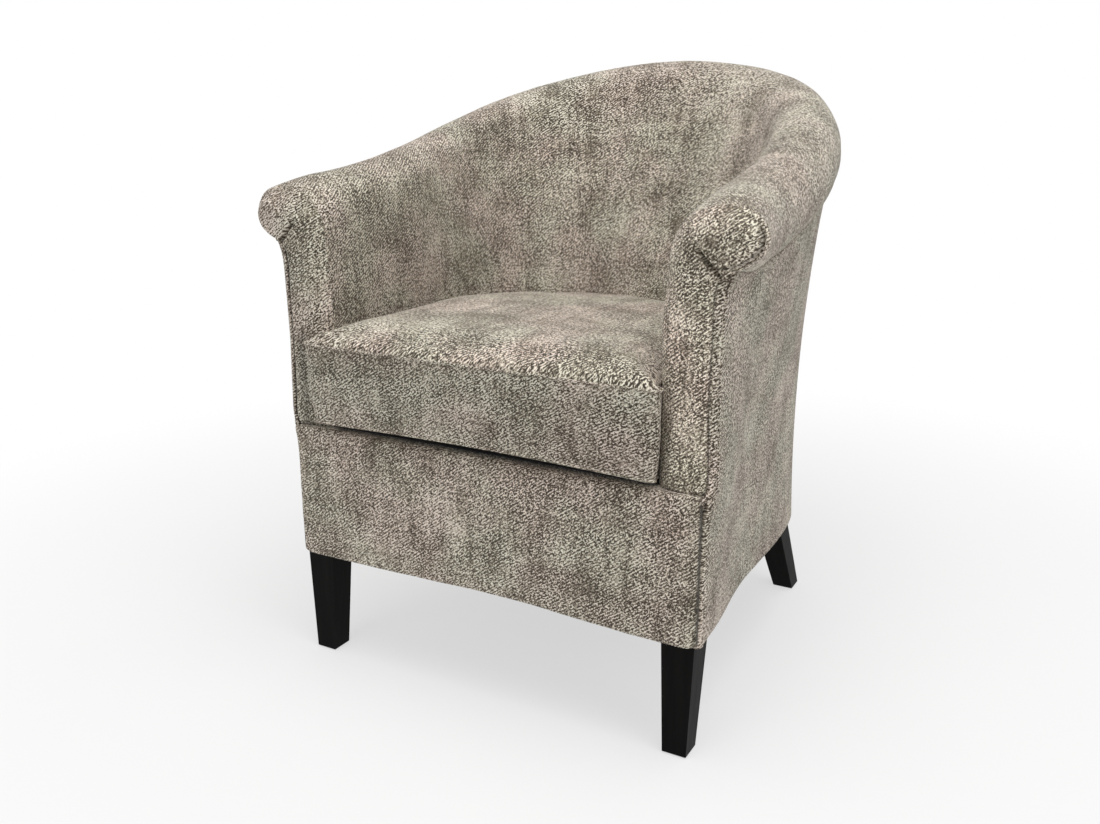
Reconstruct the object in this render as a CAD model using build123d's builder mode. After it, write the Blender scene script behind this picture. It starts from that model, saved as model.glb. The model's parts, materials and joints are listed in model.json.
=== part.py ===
"""Cabriolet tub armchair: plywood frame, webbing, padded rolled shell, loose seat cushion and four legs."""

import os
from collections import namedtuple
from math import asin, atan2, cos, degrees, hypot, pi, radians, sin, sqrt, tan

from build123d import *

os.makedirs("parts", exist_ok=True)

# Driving dimensions, in millimetres and degrees
# Plan of the tub, measured outward from its upright axis
SEAT_HALF = 228.0  # inner faces of the arms, and radius of the inside back at the seat
ARM_REACH = 210.0  # arm fronts ahead of the axis
FRONT_ROUND = 12.0  # depth of the rounding of an arm front
ARM_WIDTH = 68.0  # inner face of an arm to the top line of its roll, at the arm front
SIDE_WIDTH = 43.0  # the same where the arms meet the back
BACK_WIDTH = 160.0  # the same at the back's middle
CREST_SQUARE = 2.55  # squareness of that line round the back
ARM_FOOT = 64.0  # inner face of an arm to the bottom line of the outside cover, at the arm front
SIDE_FOOT = 44.0
BACK_FOOT = 122.0
BASE_SQUARE = 4.0
WAIST_FRONT = -4.0  # how far the outside draws in at the waist
WAIST_SIDE = -2.0
WAIST_BACK = 14.0

# Heights
LEG_HEIGHT = 150.0  # floor to the underside of the body
WAIST_HEIGHT = 300.0
CREST_LOW = 639.0  # roll at the arm fronts
CREST_HIGH = 797.0  # roll at the back's middle
RISE_EARLY = 0.32  # share of the rise that starts at once along the arm
RISE_LATE = 1.8  # how late the rest of the rise comes
BACK_SPAN = 300.0  # arm-to-back pace of that rise round the back
SEAM_HEIGHT = 443.0  # top seam of the cushion, where the inside back starts to lean

# Roll
ROLL_FRONT = 40.0  # radius of the roll
ROLL_SIDE = 50.0
ROLL_BACK = 55.0
TUCK_FRONT = 86.0  # how far round the roll the cover goes
TUCK_SIDE = 45.0
TUCK_BACK = 45.0
SHOULDER_BACK = 62.0  # radius from the inside back up to its top line
ARM_FLARE = 4.0  # inner face of an arm leans out by this much below its shoulder

# Layers
COVER = 1.6  # upholstery fabric
FOAM = 22.0  # foam of the inside arms and back
LINING = 1.2  # hessian behind the foam
GAP = 0.3  # clearance between soft layers
PLAY = 0.1  # clearance of fasteners and the zip
WALL_ROOM = 4.0  # frame to the outside cover

# Frame
PLATE = 18.0  # plywood rings and rails
SEAT_PLATE_TOP = 318.0
RING_LEDGE = 23.0  # rings inside the inner faces of the arms and back
RING_FRONT = 35.0  # front margin of that opening
RING_NOSE = 16.0  # cut-off front corners of the rings
CORNER = 34.0  # square corner posts
ARM_POST = 24.0  # board of an arm front
HOOP = 22.0  # bent top hoop
HOOP_HEIGHT = 45.0
BACK_POST = 22.0
BACK_POST_WIDTH = 40.0
BACK_POST_TURN = 55.0  # place of a back post round the tub, from the side
RAIL_INSET = 20.0  # side and rear rails behind the body's outline
RAIL_STOP = 102.0  # side and rear rails end short of the rear corner posts

# Cutting planes that the rolled shell is lofted through
ARM_STEPS = 5
BACK_STEPS = 18

# Webbing and platform
WEB = 2.0
WEB_WIDTH = 50.0
LONG_STRAPS = 5
LONG_PITCH = 76.0
CROSS_STRAPS = 4
CROSS_PITCH = 84.0
BACK_STRAPS = 5
BACK_PITCH = 23.0  # degrees between the straps of the back
FELT = 6.0  # pad over the seat webbing

# Front border
BORDER_PROUD = 10.0  # border ahead of the arm fronts
BORDER_LIP = 8.0  # border's top above the seat ring
BORDER_PAD = 8.0
BORDER_EDGE = 9.0  # rounding of the border's top edge

# Cushion
CUSHION_PROUD = 18.0  # cushion ahead of the arm fronts
CUSHION_FIT = 1.0  # cushion to each arm
CUSHION_CORNER = 14.0  # rounding of the front corners, in plan
CROWN = 28.0  # rise of the top above its seam
CROWN_LINE = ((0.0, 0.0), (0.2, 0.7), (0.5, 1.0))  # shares of the half width and of that rise
DRAW_IN = 4.5  # border drawn in behind the seams
ZIP_WIDTH = 6.0
ZIP_THICK = 1.2
ZIP_HALF_ARC = 80.0  # degrees each side of the back's middle
BACK_MIDDLE = 90.0  # turn of the back's middle, from the right side
SLIDER_LENGTH = 14.0
SLIDER_THICK = 2.4
SLIDER_WRAP = 3.2

# Legs
FRONT_LEG_IN = 31.0  # middle of a front leg inside the body's bottom line
REAR_LEG_IN = 59.0  # tops of the rear legs inside that line at the side
REAR_LEG_AHEAD = 96.0  # and ahead of it at the back
FRONT_RAKE = 5.5  # feet of the front legs ahead of their tops
REAR_SPLAY = 22.0  # feet of the rear legs out from their tops
REAR_RAKE = 53.0  # and back from them
LEG_TOP = 41.0
LEG_FOOT = 30.0
LEG_EDGE = 1.0
GLIDE = 1.5
GLIDE_DIAMETER = 20.0
BOLT = 8.0
BOLT_IN_LEG = 30.0
INSERT = 12.0  # threaded insert over a bolt
DUST = 1.0  # black cloth under the body

# Places that follow from the sizes above
CREST_FRONT = SEAT_HALF + ARM_WIDTH
CREST_SIDE = SEAT_HALF + SIDE_WIDTH
CREST_BACK = SEAT_HALF + BACK_WIDTH
BASE_FRONT = SEAT_HALF + ARM_FOOT
BASE_SIDE = SEAT_HALF + SIDE_FOOT
BASE_BACK = SEAT_HALF + BACK_FOOT
RING_HALF = SEAT_HALF - RING_LEDGE
FRONT_LEG_X = BASE_FRONT - FRONT_LEG_IN
REAR_LEG_X = BASE_SIDE - REAR_LEG_IN
REAR_LEG_Y = BASE_BACK - REAR_LEG_AHEAD
AXIS_Y = (ARM_REACH + CUSHION_PROUD - CREST_BACK - ROLL_BACK) / 2
ARM_FRONT = AXIS_Y - ARM_REACH
ARM_SEAM = ARM_FRONT + FRONT_ROUND
BORDER_FRONT = ARM_FRONT - BORDER_PROUD
FRAME_FRONT = BORDER_FRONT + COVER + BORDER_PAD + 2 * GAP
BODY_FLOOR = LEG_HEIGHT + DUST
PLATE_FLOOR = BODY_FLOOR + PLATE
SEAT_PLATE_FLOOR = SEAT_PLATE_TOP - PLATE
BORDER_TOP = SEAT_PLATE_TOP + BORDER_LIP
ARM_FLOOR = BORDER_TOP + GAP
SIDE_WAIST = BASE_SIDE - WAIST_SIDE
FOAM_IN = COVER + GAP
FOAM_OUT = FOAM_IN + FOAM
LINING_IN = FOAM_OUT + GAP
WEB_IN = LINING_IN + LINING + GAP
HOOP_IN = WEB_IN + WEB + 2 * GAP
CUSHION_HALF = SEAT_HALF - CUSHION_FIT
CUSHION_FRONT = ARM_FRONT - CUSHION_PROUD
STRAP_FLOOR = SEAT_PLATE_TOP + WEB + GAP
FELT_FLOOR = STRAP_FLOOR + WEB + GAP
CLOTH_FLOOR = FELT_FLOOR + FELT + GAP
CUSHION_FLOOR = CLOTH_FLOOR + COVER + GAP
PATH_LENGTH = ARM_REACH - FRONT_ROUND + BACK_SPAN * pi / 2

Station = namedtuple("Station", "plane turn arm rise")
Skin = namedtuple("Skin", "foot seam shoulder neck crest brow brim cheek tuck lean")


def station(turn=None, y=None, left=False):
    """One upright cutting plane of the tub: across an arm at y, or round the back at a turn in degrees."""
    if turn is None:
        arm = (y - ARM_SEAM) / (AXIS_Y - ARM_SEAM)
        angle, origin_y, run = (pi if left else 0.0), y, y - ARM_SEAM
    else:
        arm, angle, origin_y = 1.0, radians(turn), AXIS_Y
        run = AXIS_Y - ARM_SEAM + BACK_SPAN * min(angle, pi - angle)
    outward, along = (cos(angle), sin(angle), 0), (sin(angle), -cos(angle), 0)
    plane = Plane(origin=(0, origin_y, 0), x_dir=outward, z_dir=along)
    return Station(plane, angle, arm, run / PATH_LENGTH)


def stations(first_y):
    """Cutting planes from the right arm at first_y, round the back, to the left arm."""
    along = [first_y + (AXIS_Y - first_y) * step / ARM_STEPS for step in range(ARM_STEPS)]
    right = [station(y=y) for y in along]
    back = [station(turn=180 * step / BACK_STEPS) for step in range(BACK_STEPS + 1)]
    left = [station(y=y, left=True) for y in reversed(along)]
    return right + back + left


def settle(place):
    """Share of a change along an arm that has come by this plane, level where the back begins."""
    return 1 - (1 - place.arm) ** 2


def level(place, front, side, back, square):
    """Distance from the axis of a line round the tub: along the arms, then a squared oval round the back."""
    if place.arm < 1:
        return front + (side - front) * settle(place)
    return ((abs(cos(place.turn)) / side) ** square + (sin(place.turn) / back) ** square) ** (-1 / square)


def ease(place, front, side, back):
    """A size that settles along the arms and changes smoothly round the back."""
    if place.arm < 1:
        return front + (side - front) * settle(place)
    return side + (back - side) * sin(place.turn) ** 2


def crest_line(place):
    """Distance and height of the top line of the roll."""
    smooth = place.rise**2 * (3 - 2 * place.rise)
    share = RISE_EARLY * sin(place.rise * pi / 2) + (1 - RISE_EARLY) * smooth**RISE_LATE
    out = level(place, CREST_FRONT, CREST_SIDE, CREST_BACK, CREST_SQUARE)
    return out, CREST_LOW + (CREST_HIGH - CREST_LOW) * share


def skin(place, inset=0.0):
    """Points of the inside surface in a cutting plane, moved into the padding by an inset."""
    out, high = crest_line(place)
    shoulder = ease(place, ARM_WIDTH - ARM_FLARE, SIDE_WIDTH - ARM_FLARE, SHOULDER_BACK)
    roll = ease(place, ROLL_FRONT, ROLL_SIDE, ROLL_BACK)
    tuck = radians(ease(place, TUCK_FRONT, TUCK_SIDE, TUCK_BACK))
    across, up = out - SEAT_HALF, high - shoulder - SEAM_HEIGHT
    lean = atan2(across, up) - asin(shoulder / hypot(across, up))

    def on_shoulder(angle):
        return (out - (shoulder - inset) * cos(angle), high - shoulder + (shoulder - inset) * sin(angle))

    def on_roll(angle):
        return (out + (roll - inset) * cos(angle), high - roll + (roll - inset) * sin(angle))

    return Skin(
        foot=(SEAT_HALF + inset, SEAT_PLATE_TOP + GAP),
        seam=(SEAT_HALF + inset, SEAM_HEIGHT - inset * tan(lean / 2)),
        shoulder=on_shoulder(lean),
        neck=on_shoulder((lean + pi / 2) / 2),
        crest=on_shoulder(pi / 2),
        brow=on_roll(pi / 4),
        brim=on_roll(0),
        cheek=on_roll(-tuck / 2),
        tuck=on_roll(-tuck),
        lean=lean,
    )


def padded_band(place, outer, inner):
    """Section of one layer of the inside, from its foot over the roll to the tuck."""
    face, back = skin(place, outer), skin(place, inner)
    with BuildSketch(place.plane) as band:
        with BuildLine():
            Polyline(face.foot, face.seam, face.shoulder)
            ThreePointArc(face.shoulder, face.neck, face.crest)
            ThreePointArc(face.crest, face.brow, face.brim)
            ThreePointArc(face.brim, face.cheek, face.tuck)
            Line(face.tuck, back.tuck)
            ThreePointArc(back.tuck, back.cheek, back.brim)
            ThreePointArc(back.brim, back.brow, back.crest)
            ThreePointArc(back.crest, back.neck, back.shoulder)
            Polyline(back.shoulder, back.seam, back.foot, face.foot)
        make_face()
    return band.sketch


def wall_points(place):
    """Top, waist and bottom of the outside cover in a cutting plane."""
    tuck = skin(place).tuck
    base = level(place, BASE_FRONT, BASE_SIDE, BASE_BACK, BASE_SQUARE)
    waist = base - ease(place, WAIST_FRONT, WAIST_SIDE, WAIST_BACK)
    return [(tuck[0], tuck[1] - GAP), (waist, WAIST_HEIGHT), (base, LEG_HEIGHT)]


def wall_band(place):
    """Section of the outside cover, from under the roll to the bottom edge."""
    face = wall_points(place)
    back = [(out - COVER, high) for out, high in reversed(face)]
    with BuildSketch(place.plane) as band:
        with BuildLine():
            Spline(*face)
            Line(face[-1], back[0])
            Spline(*back)
            Line(back[-1], face[0])
        make_face()
    return band.sketch


def straight_band(place, outer, inner):
    """Section of a flat layer behind the padding, from the seat ring up to the shoulder."""
    face, back = skin(place, outer), skin(place, inner)
    with BuildSketch(place.plane) as band:
        with BuildLine():
            Polyline(face.foot, face.seam, face.shoulder, back.shoulder, back.seam, back.foot, close=True)
        make_face()
    return band.sketch


def hoop_section(place):
    """Section of the bent top hoop, hung from the shoulder line."""
    face = skin(place, HOOP_IN)
    top, drop = face.shoulder, HOOP_HEIGHT * tan(face.lean)
    with BuildSketch(place.plane) as band:
        with BuildLine():
            Polyline(
                top,
                (top[0] + HOOP, top[1]),
                (top[0] - drop + HOOP, top[1] - HOOP_HEIGHT),
                (top[0] - drop, top[1] - HOOP_HEIGHT),
                close=True,
            )
        make_face()
    return band.sketch


def ring_outline(inset, side, back):
    """Closed plan line of a plywood ring, inside the body's outline at one height."""
    half = BASE_FRONT - inset
    tip, corner_y = half - RING_NOSE, FRAME_FRONT + RING_NOSE
    arm = [(half, corner_y)]
    for step in range(1, ARM_STEPS):
        y = ARM_SEAM + (AXIS_Y - ARM_SEAM) * step / ARM_STEPS
        arm.append((level(station(y=y), BASE_FRONT, side, back, BASE_SQUARE) - inset, y))
    other_arm = [(-out, y) for out, y in reversed(arm)]
    curve = []
    for step in range(BACK_STEPS + 1):
        place = station(turn=180 * step / BACK_STEPS)
        out = level(place, 0, side - inset, back - inset, BASE_SQUARE)
        curve.append((out * cos(place.turn), AXIS_Y + out * sin(place.turn)))
    with BuildLine() as line:
        Polyline((-tip, FRAME_FRONT), (tip, FRAME_FRONT), *arm, curve[0])
        Spline(*curve, tangents=((0, 1), (0, -1)))
        Polyline(curve[-1], *other_arm, (-tip, FRAME_FRONT))
    return line.line


def dee(half, front, corner):
    """Closed plan line of a seat shape: straight front and sides with a half-round back about the axis."""
    with BuildLine() as line:
        Line((-half + corner, front), (half - corner, front))
        RadiusArc((half - corner, front), (half, front + corner), -corner)
        Line((half, front + corner), (half, AXIS_Y))
        CenterArc((0, AXIS_Y), half, 0, 90)
        CenterArc((0, AXIS_Y), half, 90, 90)
        Line((-half, AXIS_Y), (-half, front + corner))
        RadiusArc((-half, front + corner), (-half + corner, front), -corner)
    return line.line


def dee_face(half, front, corner, height):
    """Seat-shaped face at a height."""
    with BuildSketch(Plane.XY.offset(height)) as sheet:
        with BuildLine():
            add(dee(half, front, corner))
        make_face()
    return sheet.sketch


def save(piece, label):
    """Label a finished piece and write it."""
    piece.part.label = label
    export_step(piece.part, f"parts/{label}.step")


# Plywood rings of the base and the seat
leg_tops = [(sign * FRONT_LEG_X, FRAME_FRONT + LEG_TOP / 2) for sign in (-1, 1)]
leg_tops += [(sign * REAR_LEG_X, AXIS_Y + REAR_LEG_Y) for sign in (-1, 1)]
base_inset = COVER + GAP + WALL_ROOM
opening_front = FRAME_FRONT + RING_FRONT

with BuildPart() as base_ring:
    with BuildSketch(Plane.XY.offset(BODY_FLOOR)):
        with BuildLine():
            add(ring_outline(base_inset, BASE_SIDE, BASE_BACK))
        make_face()
        with BuildLine():
            add(dee(RING_HALF, opening_front, CUSHION_CORNER))
        make_face(mode=Mode.SUBTRACT)
        with Locations(*leg_tops):
            Circle(INSERT / 2 + PLAY, mode=Mode.SUBTRACT)
    extrude(amount=PLATE)
save(base_ring, "base_ring")

with BuildPart() as seat_ring:
    with BuildSketch(Plane.XY.offset(SEAT_PLATE_FLOOR)):
        with BuildLine():
            add(ring_outline(base_inset, SIDE_WAIST, BASE_BACK - WAIST_BACK))
        make_face()
        with BuildLine():
            add(dee(RING_HALF, opening_front, CUSHION_CORNER))
        make_face(mode=Mode.SUBTRACT)
    extrude(amount=PLATE)
save(seat_ring, "seat_ring")

# Corner posts and rails between the two rings
rail_height = SEAT_PLATE_FLOOR - PLATE_FLOOR
front_post_y = FRAME_FRONT + CORNER / 2
front_post_x = BASE_FRONT - base_inset - RING_NOSE - CORNER / 2
rear_post_x, rear_post_y = REAR_LEG_X - WALL_ROOM, AXIS_Y + REAR_LEG_Y - WALL_ROOM

with BuildPart() as corner_posts:
    with BuildSketch(Plane.XY.offset(PLATE_FLOOR)):
        for sign in (-1, 1):
            with Locations((sign * front_post_x, front_post_y), (sign * rear_post_x, rear_post_y)):
                Rectangle(CORNER, CORNER)
    extrude(amount=rail_height)
save(corner_posts, "corner_posts")

with BuildPart() as front_rail:
    with BuildSketch(Plane.XY.offset(PLATE_FLOOR)):
        with Locations((0, FRAME_FRONT + PLATE / 2)):
            Rectangle(2 * front_post_x - CORNER, PLATE)
    extrude(amount=rail_height)
save(front_rail, "front_rail")

side_rail_x = SIDE_WAIST - RAIL_INSET
side_rail_front = front_post_y + CORNER / 2
side_rail_back = rear_post_y - RAIL_STOP
for sign, hand in ((-1, "left"), (1, "right")):
    with BuildPart() as side_rail:
        with BuildSketch(Plane.XY.offset(PLATE_FLOOR)):
            with Locations((sign * side_rail_x, (side_rail_front + side_rail_back) / 2)):
                Rectangle(PLATE, side_rail_back - side_rail_front)
        extrude(amount=rail_height)
    save(side_rail, f"side_rail_{hand}")

with BuildPart() as rear_rail:
    with BuildSketch(Plane.XY.offset(PLATE_FLOOR)):
        with Locations((0, AXIS_Y + BASE_BACK - WAIST_BACK - RAIL_INSET)):
            Rectangle(2 * (rear_post_x - RAIL_STOP), PLATE)
    extrude(amount=rail_height)
save(rear_rail, "rear_rail")

# Arm fronts: a board cut to the outline of the roll, and its wadding
def arm_outline(inset, floor, room, y=ARM_SEAM):
    """Closed face of the right arm in a plane across it, with room behind the outside at the waist."""
    place = station(y=y)
    edge = skin(place, inset)
    wall = wall_points(place)[1][0] - room
    with BuildSketch(place.plane) as face:
        with BuildLine():
            Line((edge.foot[0], floor), edge.shoulder)
            ThreePointArc(edge.shoulder, edge.neck, edge.crest)
            ThreePointArc(edge.crest, edge.brow, edge.brim)
            ThreePointArc(edge.brim, edge.cheek, edge.tuck)
            Polyline(edge.tuck, (wall, floor), (edge.foot[0], floor))
        make_face()
    return face.sketch


post_inset, post_room = LINING_IN + GAP, COVER + WALL_ROOM
post_places = [ARM_SEAM + GAP + ARM_POST * share for share in (0, 0.5, 1)]
post_faces = [arm_outline(post_inset, SEAT_PLATE_TOP, post_room, y) for y in post_places]
pad_face = arm_outline(FOAM_IN, ARM_FLOOR + FOAM_IN, FOAM_IN)
cap_face = arm_outline(0.0, ARM_FLOOR, 0.0)
hollow_face = arm_outline(COVER, ARM_FLOOR + COVER, COVER)

with BuildPart() as arm_post_right:
    loft(sections=post_faces)
save(arm_post_right, "arm_post_right")

with BuildPart() as arm_post_left:
    add(mirror(arm_post_right.part, about=Plane.YZ, mode=Mode.PRIVATE))
save(arm_post_left, "arm_post_left")

with BuildPart() as arm_front_pad_right:
    extrude(pad_face, amount=FRONT_ROUND - FOAM_IN)
    fillet(arm_front_pad_right.faces().sort_by(Axis.Y)[0].edges(), FRONT_ROUND - FOAM_IN - 2 * GAP)
save(arm_front_pad_right, "arm_front_pad_right")

with BuildPart() as arm_front_pad_left:
    add(mirror(arm_front_pad_right.part, about=Plane.YZ, mode=Mode.PRIVATE))
save(arm_front_pad_left, "arm_front_pad_left")

# Top hoop, behind the arm posts, and the two back posts lapped on it
hoop_front = ARM_SEAM + ARM_POST + 2 * GAP
hoop_stations = stations(hoop_front)

hoop_sections = [hoop_section(place) for place in hoop_stations]
with BuildPart() as top_hoop:
    loft(sections=hoop_sections)
save(top_hoop, "top_hoop")


def slices(turn, width):
    """Three cutting planes across a piece of a given width that stands behind the padding."""
    half_turn = degrees(width / 2 / (SEAT_HALF + HOOP_IN))
    return [station(turn=turn + step * half_turn) for step in (-1, 0, 1)]


def back_post_section(place):
    """Section of a back post, from the seat ring up behind the hoop."""
    edge = skin(place, HOOP_IN + HOOP + 2 * GAP)
    line = [(edge.seam[0], SEAT_PLATE_TOP), edge.seam, edge.shoulder]
    back = [(out + BACK_POST, high) for out, high in reversed(line)]
    with BuildSketch(place.plane) as band:
        with BuildLine():
            Polyline(*line, *back, close=True)
        make_face()
    return band.sketch


for turn, hand in ((180 - BACK_POST_TURN, "left"), (BACK_POST_TURN, "right")):
    post_sections = [back_post_section(place) for place in slices(turn, BACK_POST_WIDTH)]
    with BuildPart() as back_post:
        loft(sections=post_sections)
    save(back_post, f"back_post_{hand}")

# Hessian lining and webbing behind the foam
lining_sections = [straight_band(place, LINING_IN, LINING_IN + LINING) for place in hoop_stations]
with BuildPart() as back_lining:
    loft(sections=lining_sections)
save(back_lining, "back_lining")

with BuildPart() as back_straps:
    for step in range(BACK_STRAPS):
        turn = BACK_MIDDLE + BACK_PITCH * (step - (BACK_STRAPS - 1) / 2)
        loft(sections=[straight_band(place, WEB_IN, WEB_IN + WEB) for place in slices(turn, WEB_WIDTH)])
save(back_straps, "back_straps")

# Foam and cover of the inside arms, back and roll
tub_stations = stations(ARM_SEAM)
foam_sections = [padded_band(place, FOAM_IN, FOAM_OUT) for place in tub_stations]
with BuildPart() as inside_foam:
    loft(sections=foam_sections)
save(inside_foam, "inside_foam")

cover_sections = [padded_band(place, 0.0, COVER) for place in tub_stations]
with BuildPart() as arm_cap:
    extrude(cap_face, amount=FRONT_ROUND)
    fillet(arm_cap.faces().sort_by(Axis.Y)[0].edges(), FRONT_ROUND - GAP)
with BuildPart() as arm_hollow:
    extrude(hollow_face, amount=FRONT_ROUND - COVER)
    fillet(arm_hollow.faces().sort_by(Axis.Y)[0].edges(), FRONT_ROUND - COVER - GAP)
with BuildPart() as arm_shell:
    add(arm_cap.part)
    add(arm_hollow.part, mode=Mode.SUBTRACT)

with BuildPart() as inside_cover:
    loft(sections=cover_sections)
    add(arm_shell.part)
    mirror(arm_shell.part, about=Plane.YZ)
save(inside_cover, "inside_cover")

# Outside cover
wall_sections = [wall_band(place) for place in tub_stations]
with BuildPart() as outside_cover:
    loft(sections=wall_sections)
save(outside_cover, "outside_cover")

# Front border: pad and cover with rounded front corners and top edge
border_half = BASE_FRONT
border_depth = ARM_SEAM - GAP - BORDER_FRONT


def border_form(inset):
    """Block of the front border, drawn in on every show side."""
    with BuildPart() as form:
        with BuildSketch(Plane.XY.offset(LEG_HEIGHT)):
            with BuildLine():
                half, front, back = border_half - inset, BORDER_FRONT + inset, BORDER_FRONT + border_depth
                round_in = border_depth - inset - GAP
                Line((-half + round_in, front), (half - round_in, front))
                RadiusArc((half - round_in, front), (half, front + round_in), -round_in)
                Polyline((half, front + round_in), (half, back), (-half, back), (-half, front + round_in))
                RadiusArc((-half, front + round_in), (-half + round_in, front), -round_in)
            make_face()
        extrude(amount=BORDER_TOP - inset - LEG_HEIGHT)
        rim = form.faces().sort_by(Axis.Z)[-1].edges().sort_by(Axis.Y)[:-1]
        fillet(rim, BORDER_EDGE - inset / 2)
    return form.part


with BuildPart() as front_border_cover:
    add(border_form(0.0))
    add(border_form(COVER), mode=Mode.SUBTRACT)
save(front_border_cover, "front_border_cover")

with BuildPart() as front_border_pad:
    add(border_form(COVER + GAP))
    with BuildSketch(Plane.XY.offset(LEG_HEIGHT)):
        with BuildLine():
            half, nose = BASE_FRONT - base_inset, RING_NOSE
            Polyline(
                (-half + nose - GAP, FRAME_FRONT - GAP),
                (half - nose + GAP, FRAME_FRONT - GAP),
                (half + GAP, FRAME_FRONT + nose - GAP),
                (half + GAP, FRAME_FRONT + border_depth),
                (-half - GAP, FRAME_FRONT + border_depth),
                (-half - GAP, FRAME_FRONT + nose - GAP),
                close=True,
            )
        make_face()
    extrude(amount=SEAT_PLATE_TOP + GAP - LEG_HEIGHT, mode=Mode.SUBTRACT)
save(front_border_pad, "front_border_pad")

# Dust cover under the body
with BuildPart() as dust_cover:
    with BuildSketch(Plane.XY.offset(LEG_HEIGHT)):
        with BuildLine():
            add(ring_outline(base_inset, BASE_SIDE, BASE_BACK))
        make_face()
        with Locations(*leg_tops):
            Circle(BOLT / 2 + PLAY, mode=Mode.SUBTRACT)
    extrude(amount=DUST)
save(dust_cover, "dust_cover")

# Seat webbing, felt and platform cloth
strap_front = BORDER_FRONT + border_depth + GAP


def arc_reach(across):
    """How far the rings' half-round opening reaches at a distance across it."""
    return sqrt(RING_HALF**2 - across**2)


strap_lap = (SEAT_HALF - RING_HALF) / 2
with BuildPart() as seat_straps_long:
    with BuildSketch(Plane.XY.offset(SEAT_PLATE_TOP)):
        for step in range(LONG_STRAPS):
            across = LONG_PITCH * (step - (LONG_STRAPS - 1) / 2)
            strap_back = AXIS_Y + arc_reach(across) + strap_lap / 2
            with Locations((across, (strap_front + strap_back) / 2)):
                Rectangle(WEB_WIDTH, strap_back - strap_front)
    extrude(amount=WEB)
save(seat_straps_long, "seat_straps_long")

with BuildPart() as seat_straps_cross:
    with BuildSketch(Plane.XY.offset(STRAP_FLOOR)):
        for step in range(CROSS_STRAPS):
            along = AXIS_Y + CROSS_PITCH * (step - (CROSS_STRAPS - 1) / 2)
            reach = arc_reach(max(along - AXIS_Y, 0)) + strap_lap / 2
            with Locations((0, along)):
                Rectangle(2 * reach, WEB_WIDTH)
    extrude(amount=WEB)
save(seat_straps_cross, "seat_straps_cross")

platform_half = SEAT_HALF - COVER
platform_pad_face = dee_face(platform_half, strap_front, CUSHION_CORNER, FELT_FLOOR)
with BuildPart() as platform_pad:
    extrude(platform_pad_face, amount=FELT)
save(platform_pad, "platform_pad")

platform_cloth_face = dee_face(platform_half, ARM_FRONT, CUSHION_CORNER, CLOTH_FLOOR)
with BuildPart() as platform_cloth:
    extrude(platform_cloth_face, amount=COVER)
save(platform_cloth, "platform_cloth")

# Loose cushion: foam core, top, bottom, border and zip
def cushion_face(inset, height):
    """Plan face of the cushion, drawn in by an inset."""
    corner = max(CUSHION_CORNER - inset / 2, CUSHION_CORNER / 2)
    return dee_face(CUSHION_HALF - inset, CUSHION_FRONT + inset, corner, height)


def crown_faces(inset, drop):
    """Plan faces up the crowned top, drawn in and lowered for the layers inside."""
    faces = []
    for share, rise in CROWN_LINE:
        height = SEAM_HEIGHT + CROWN * rise - (drop if rise else 0)
        faces.append(cushion_face(inset + share * CUSHION_HALF, height))
    return faces


top_faces, hollow_faces = crown_faces(0.0, 0.0), crown_faces(COVER, COVER)
with BuildPart() as cushion_top:
    loft(sections=top_faces)
    loft(sections=hollow_faces, mode=Mode.SUBTRACT)
save(cushion_top, "cushion_top_panel")

bottom_face = cushion_face(0.0, CUSHION_FLOOR)
with BuildPart() as cushion_bottom:
    extrude(bottom_face, amount=COVER)
save(cushion_bottom, "cushion_bottom_panel")

border_floor = CUSHION_FLOOR + COVER
border_height = SEAM_HEIGHT - border_floor
border_face = cushion_face(DRAW_IN, border_floor)
border_hollow = cushion_face(DRAW_IN + COVER, border_floor)
with BuildPart() as cushion_border:
    extrude(border_face, amount=border_height)
    extrude(border_hollow, amount=border_height, mode=Mode.SUBTRACT)
save(cushion_border, "cushion_border")

core_inset = DRAW_IN + COVER + GAP
core_face = cushion_face(core_inset, border_floor + GAP)
core_crown = crown_faces(core_inset, COVER + GAP)
with BuildPart() as cushion_core:
    extrude(core_face, amount=border_height - GAP)
    loft(sections=core_crown)
save(cushion_core, "cushion_core")

zip_height = (CUSHION_FLOOR + SEAM_HEIGHT) / 2
zip_inner = CUSHION_HALF - DRAW_IN + PLAY
zip_outer = zip_inner + ZIP_THICK


def arc_block(inner, outer, turn, half_turn, floor, height):
    """Slice of a ring about the axis, centred on a turn."""
    with BuildPart() as block:
        with BuildSketch(Plane.XY.offset(floor)):
            with BuildLine():
                first, last = radians(turn - half_turn), radians(turn + half_turn)
                ends = [
                    (reach * cos(angle), AXIS_Y + reach * sin(angle))
                    for reach, angle in ((inner, first), (outer, first), (outer, last), (inner, last))
                ]
                Line(ends[0], ends[1])
                CenterArc((0, AXIS_Y), outer, turn - half_turn, 2 * half_turn)
                Line(ends[2], ends[3])
                CenterArc((0, AXIS_Y), inner, turn - half_turn, 2 * half_turn)
            make_face()
        extrude(amount=height)
    return block.part


with BuildPart() as zip_chain:
    add(arc_block(zip_inner, zip_outer, BACK_MIDDLE, ZIP_HALF_ARC, zip_height - ZIP_WIDTH / 2, ZIP_WIDTH))
save(zip_chain, "zip_chain")

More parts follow.
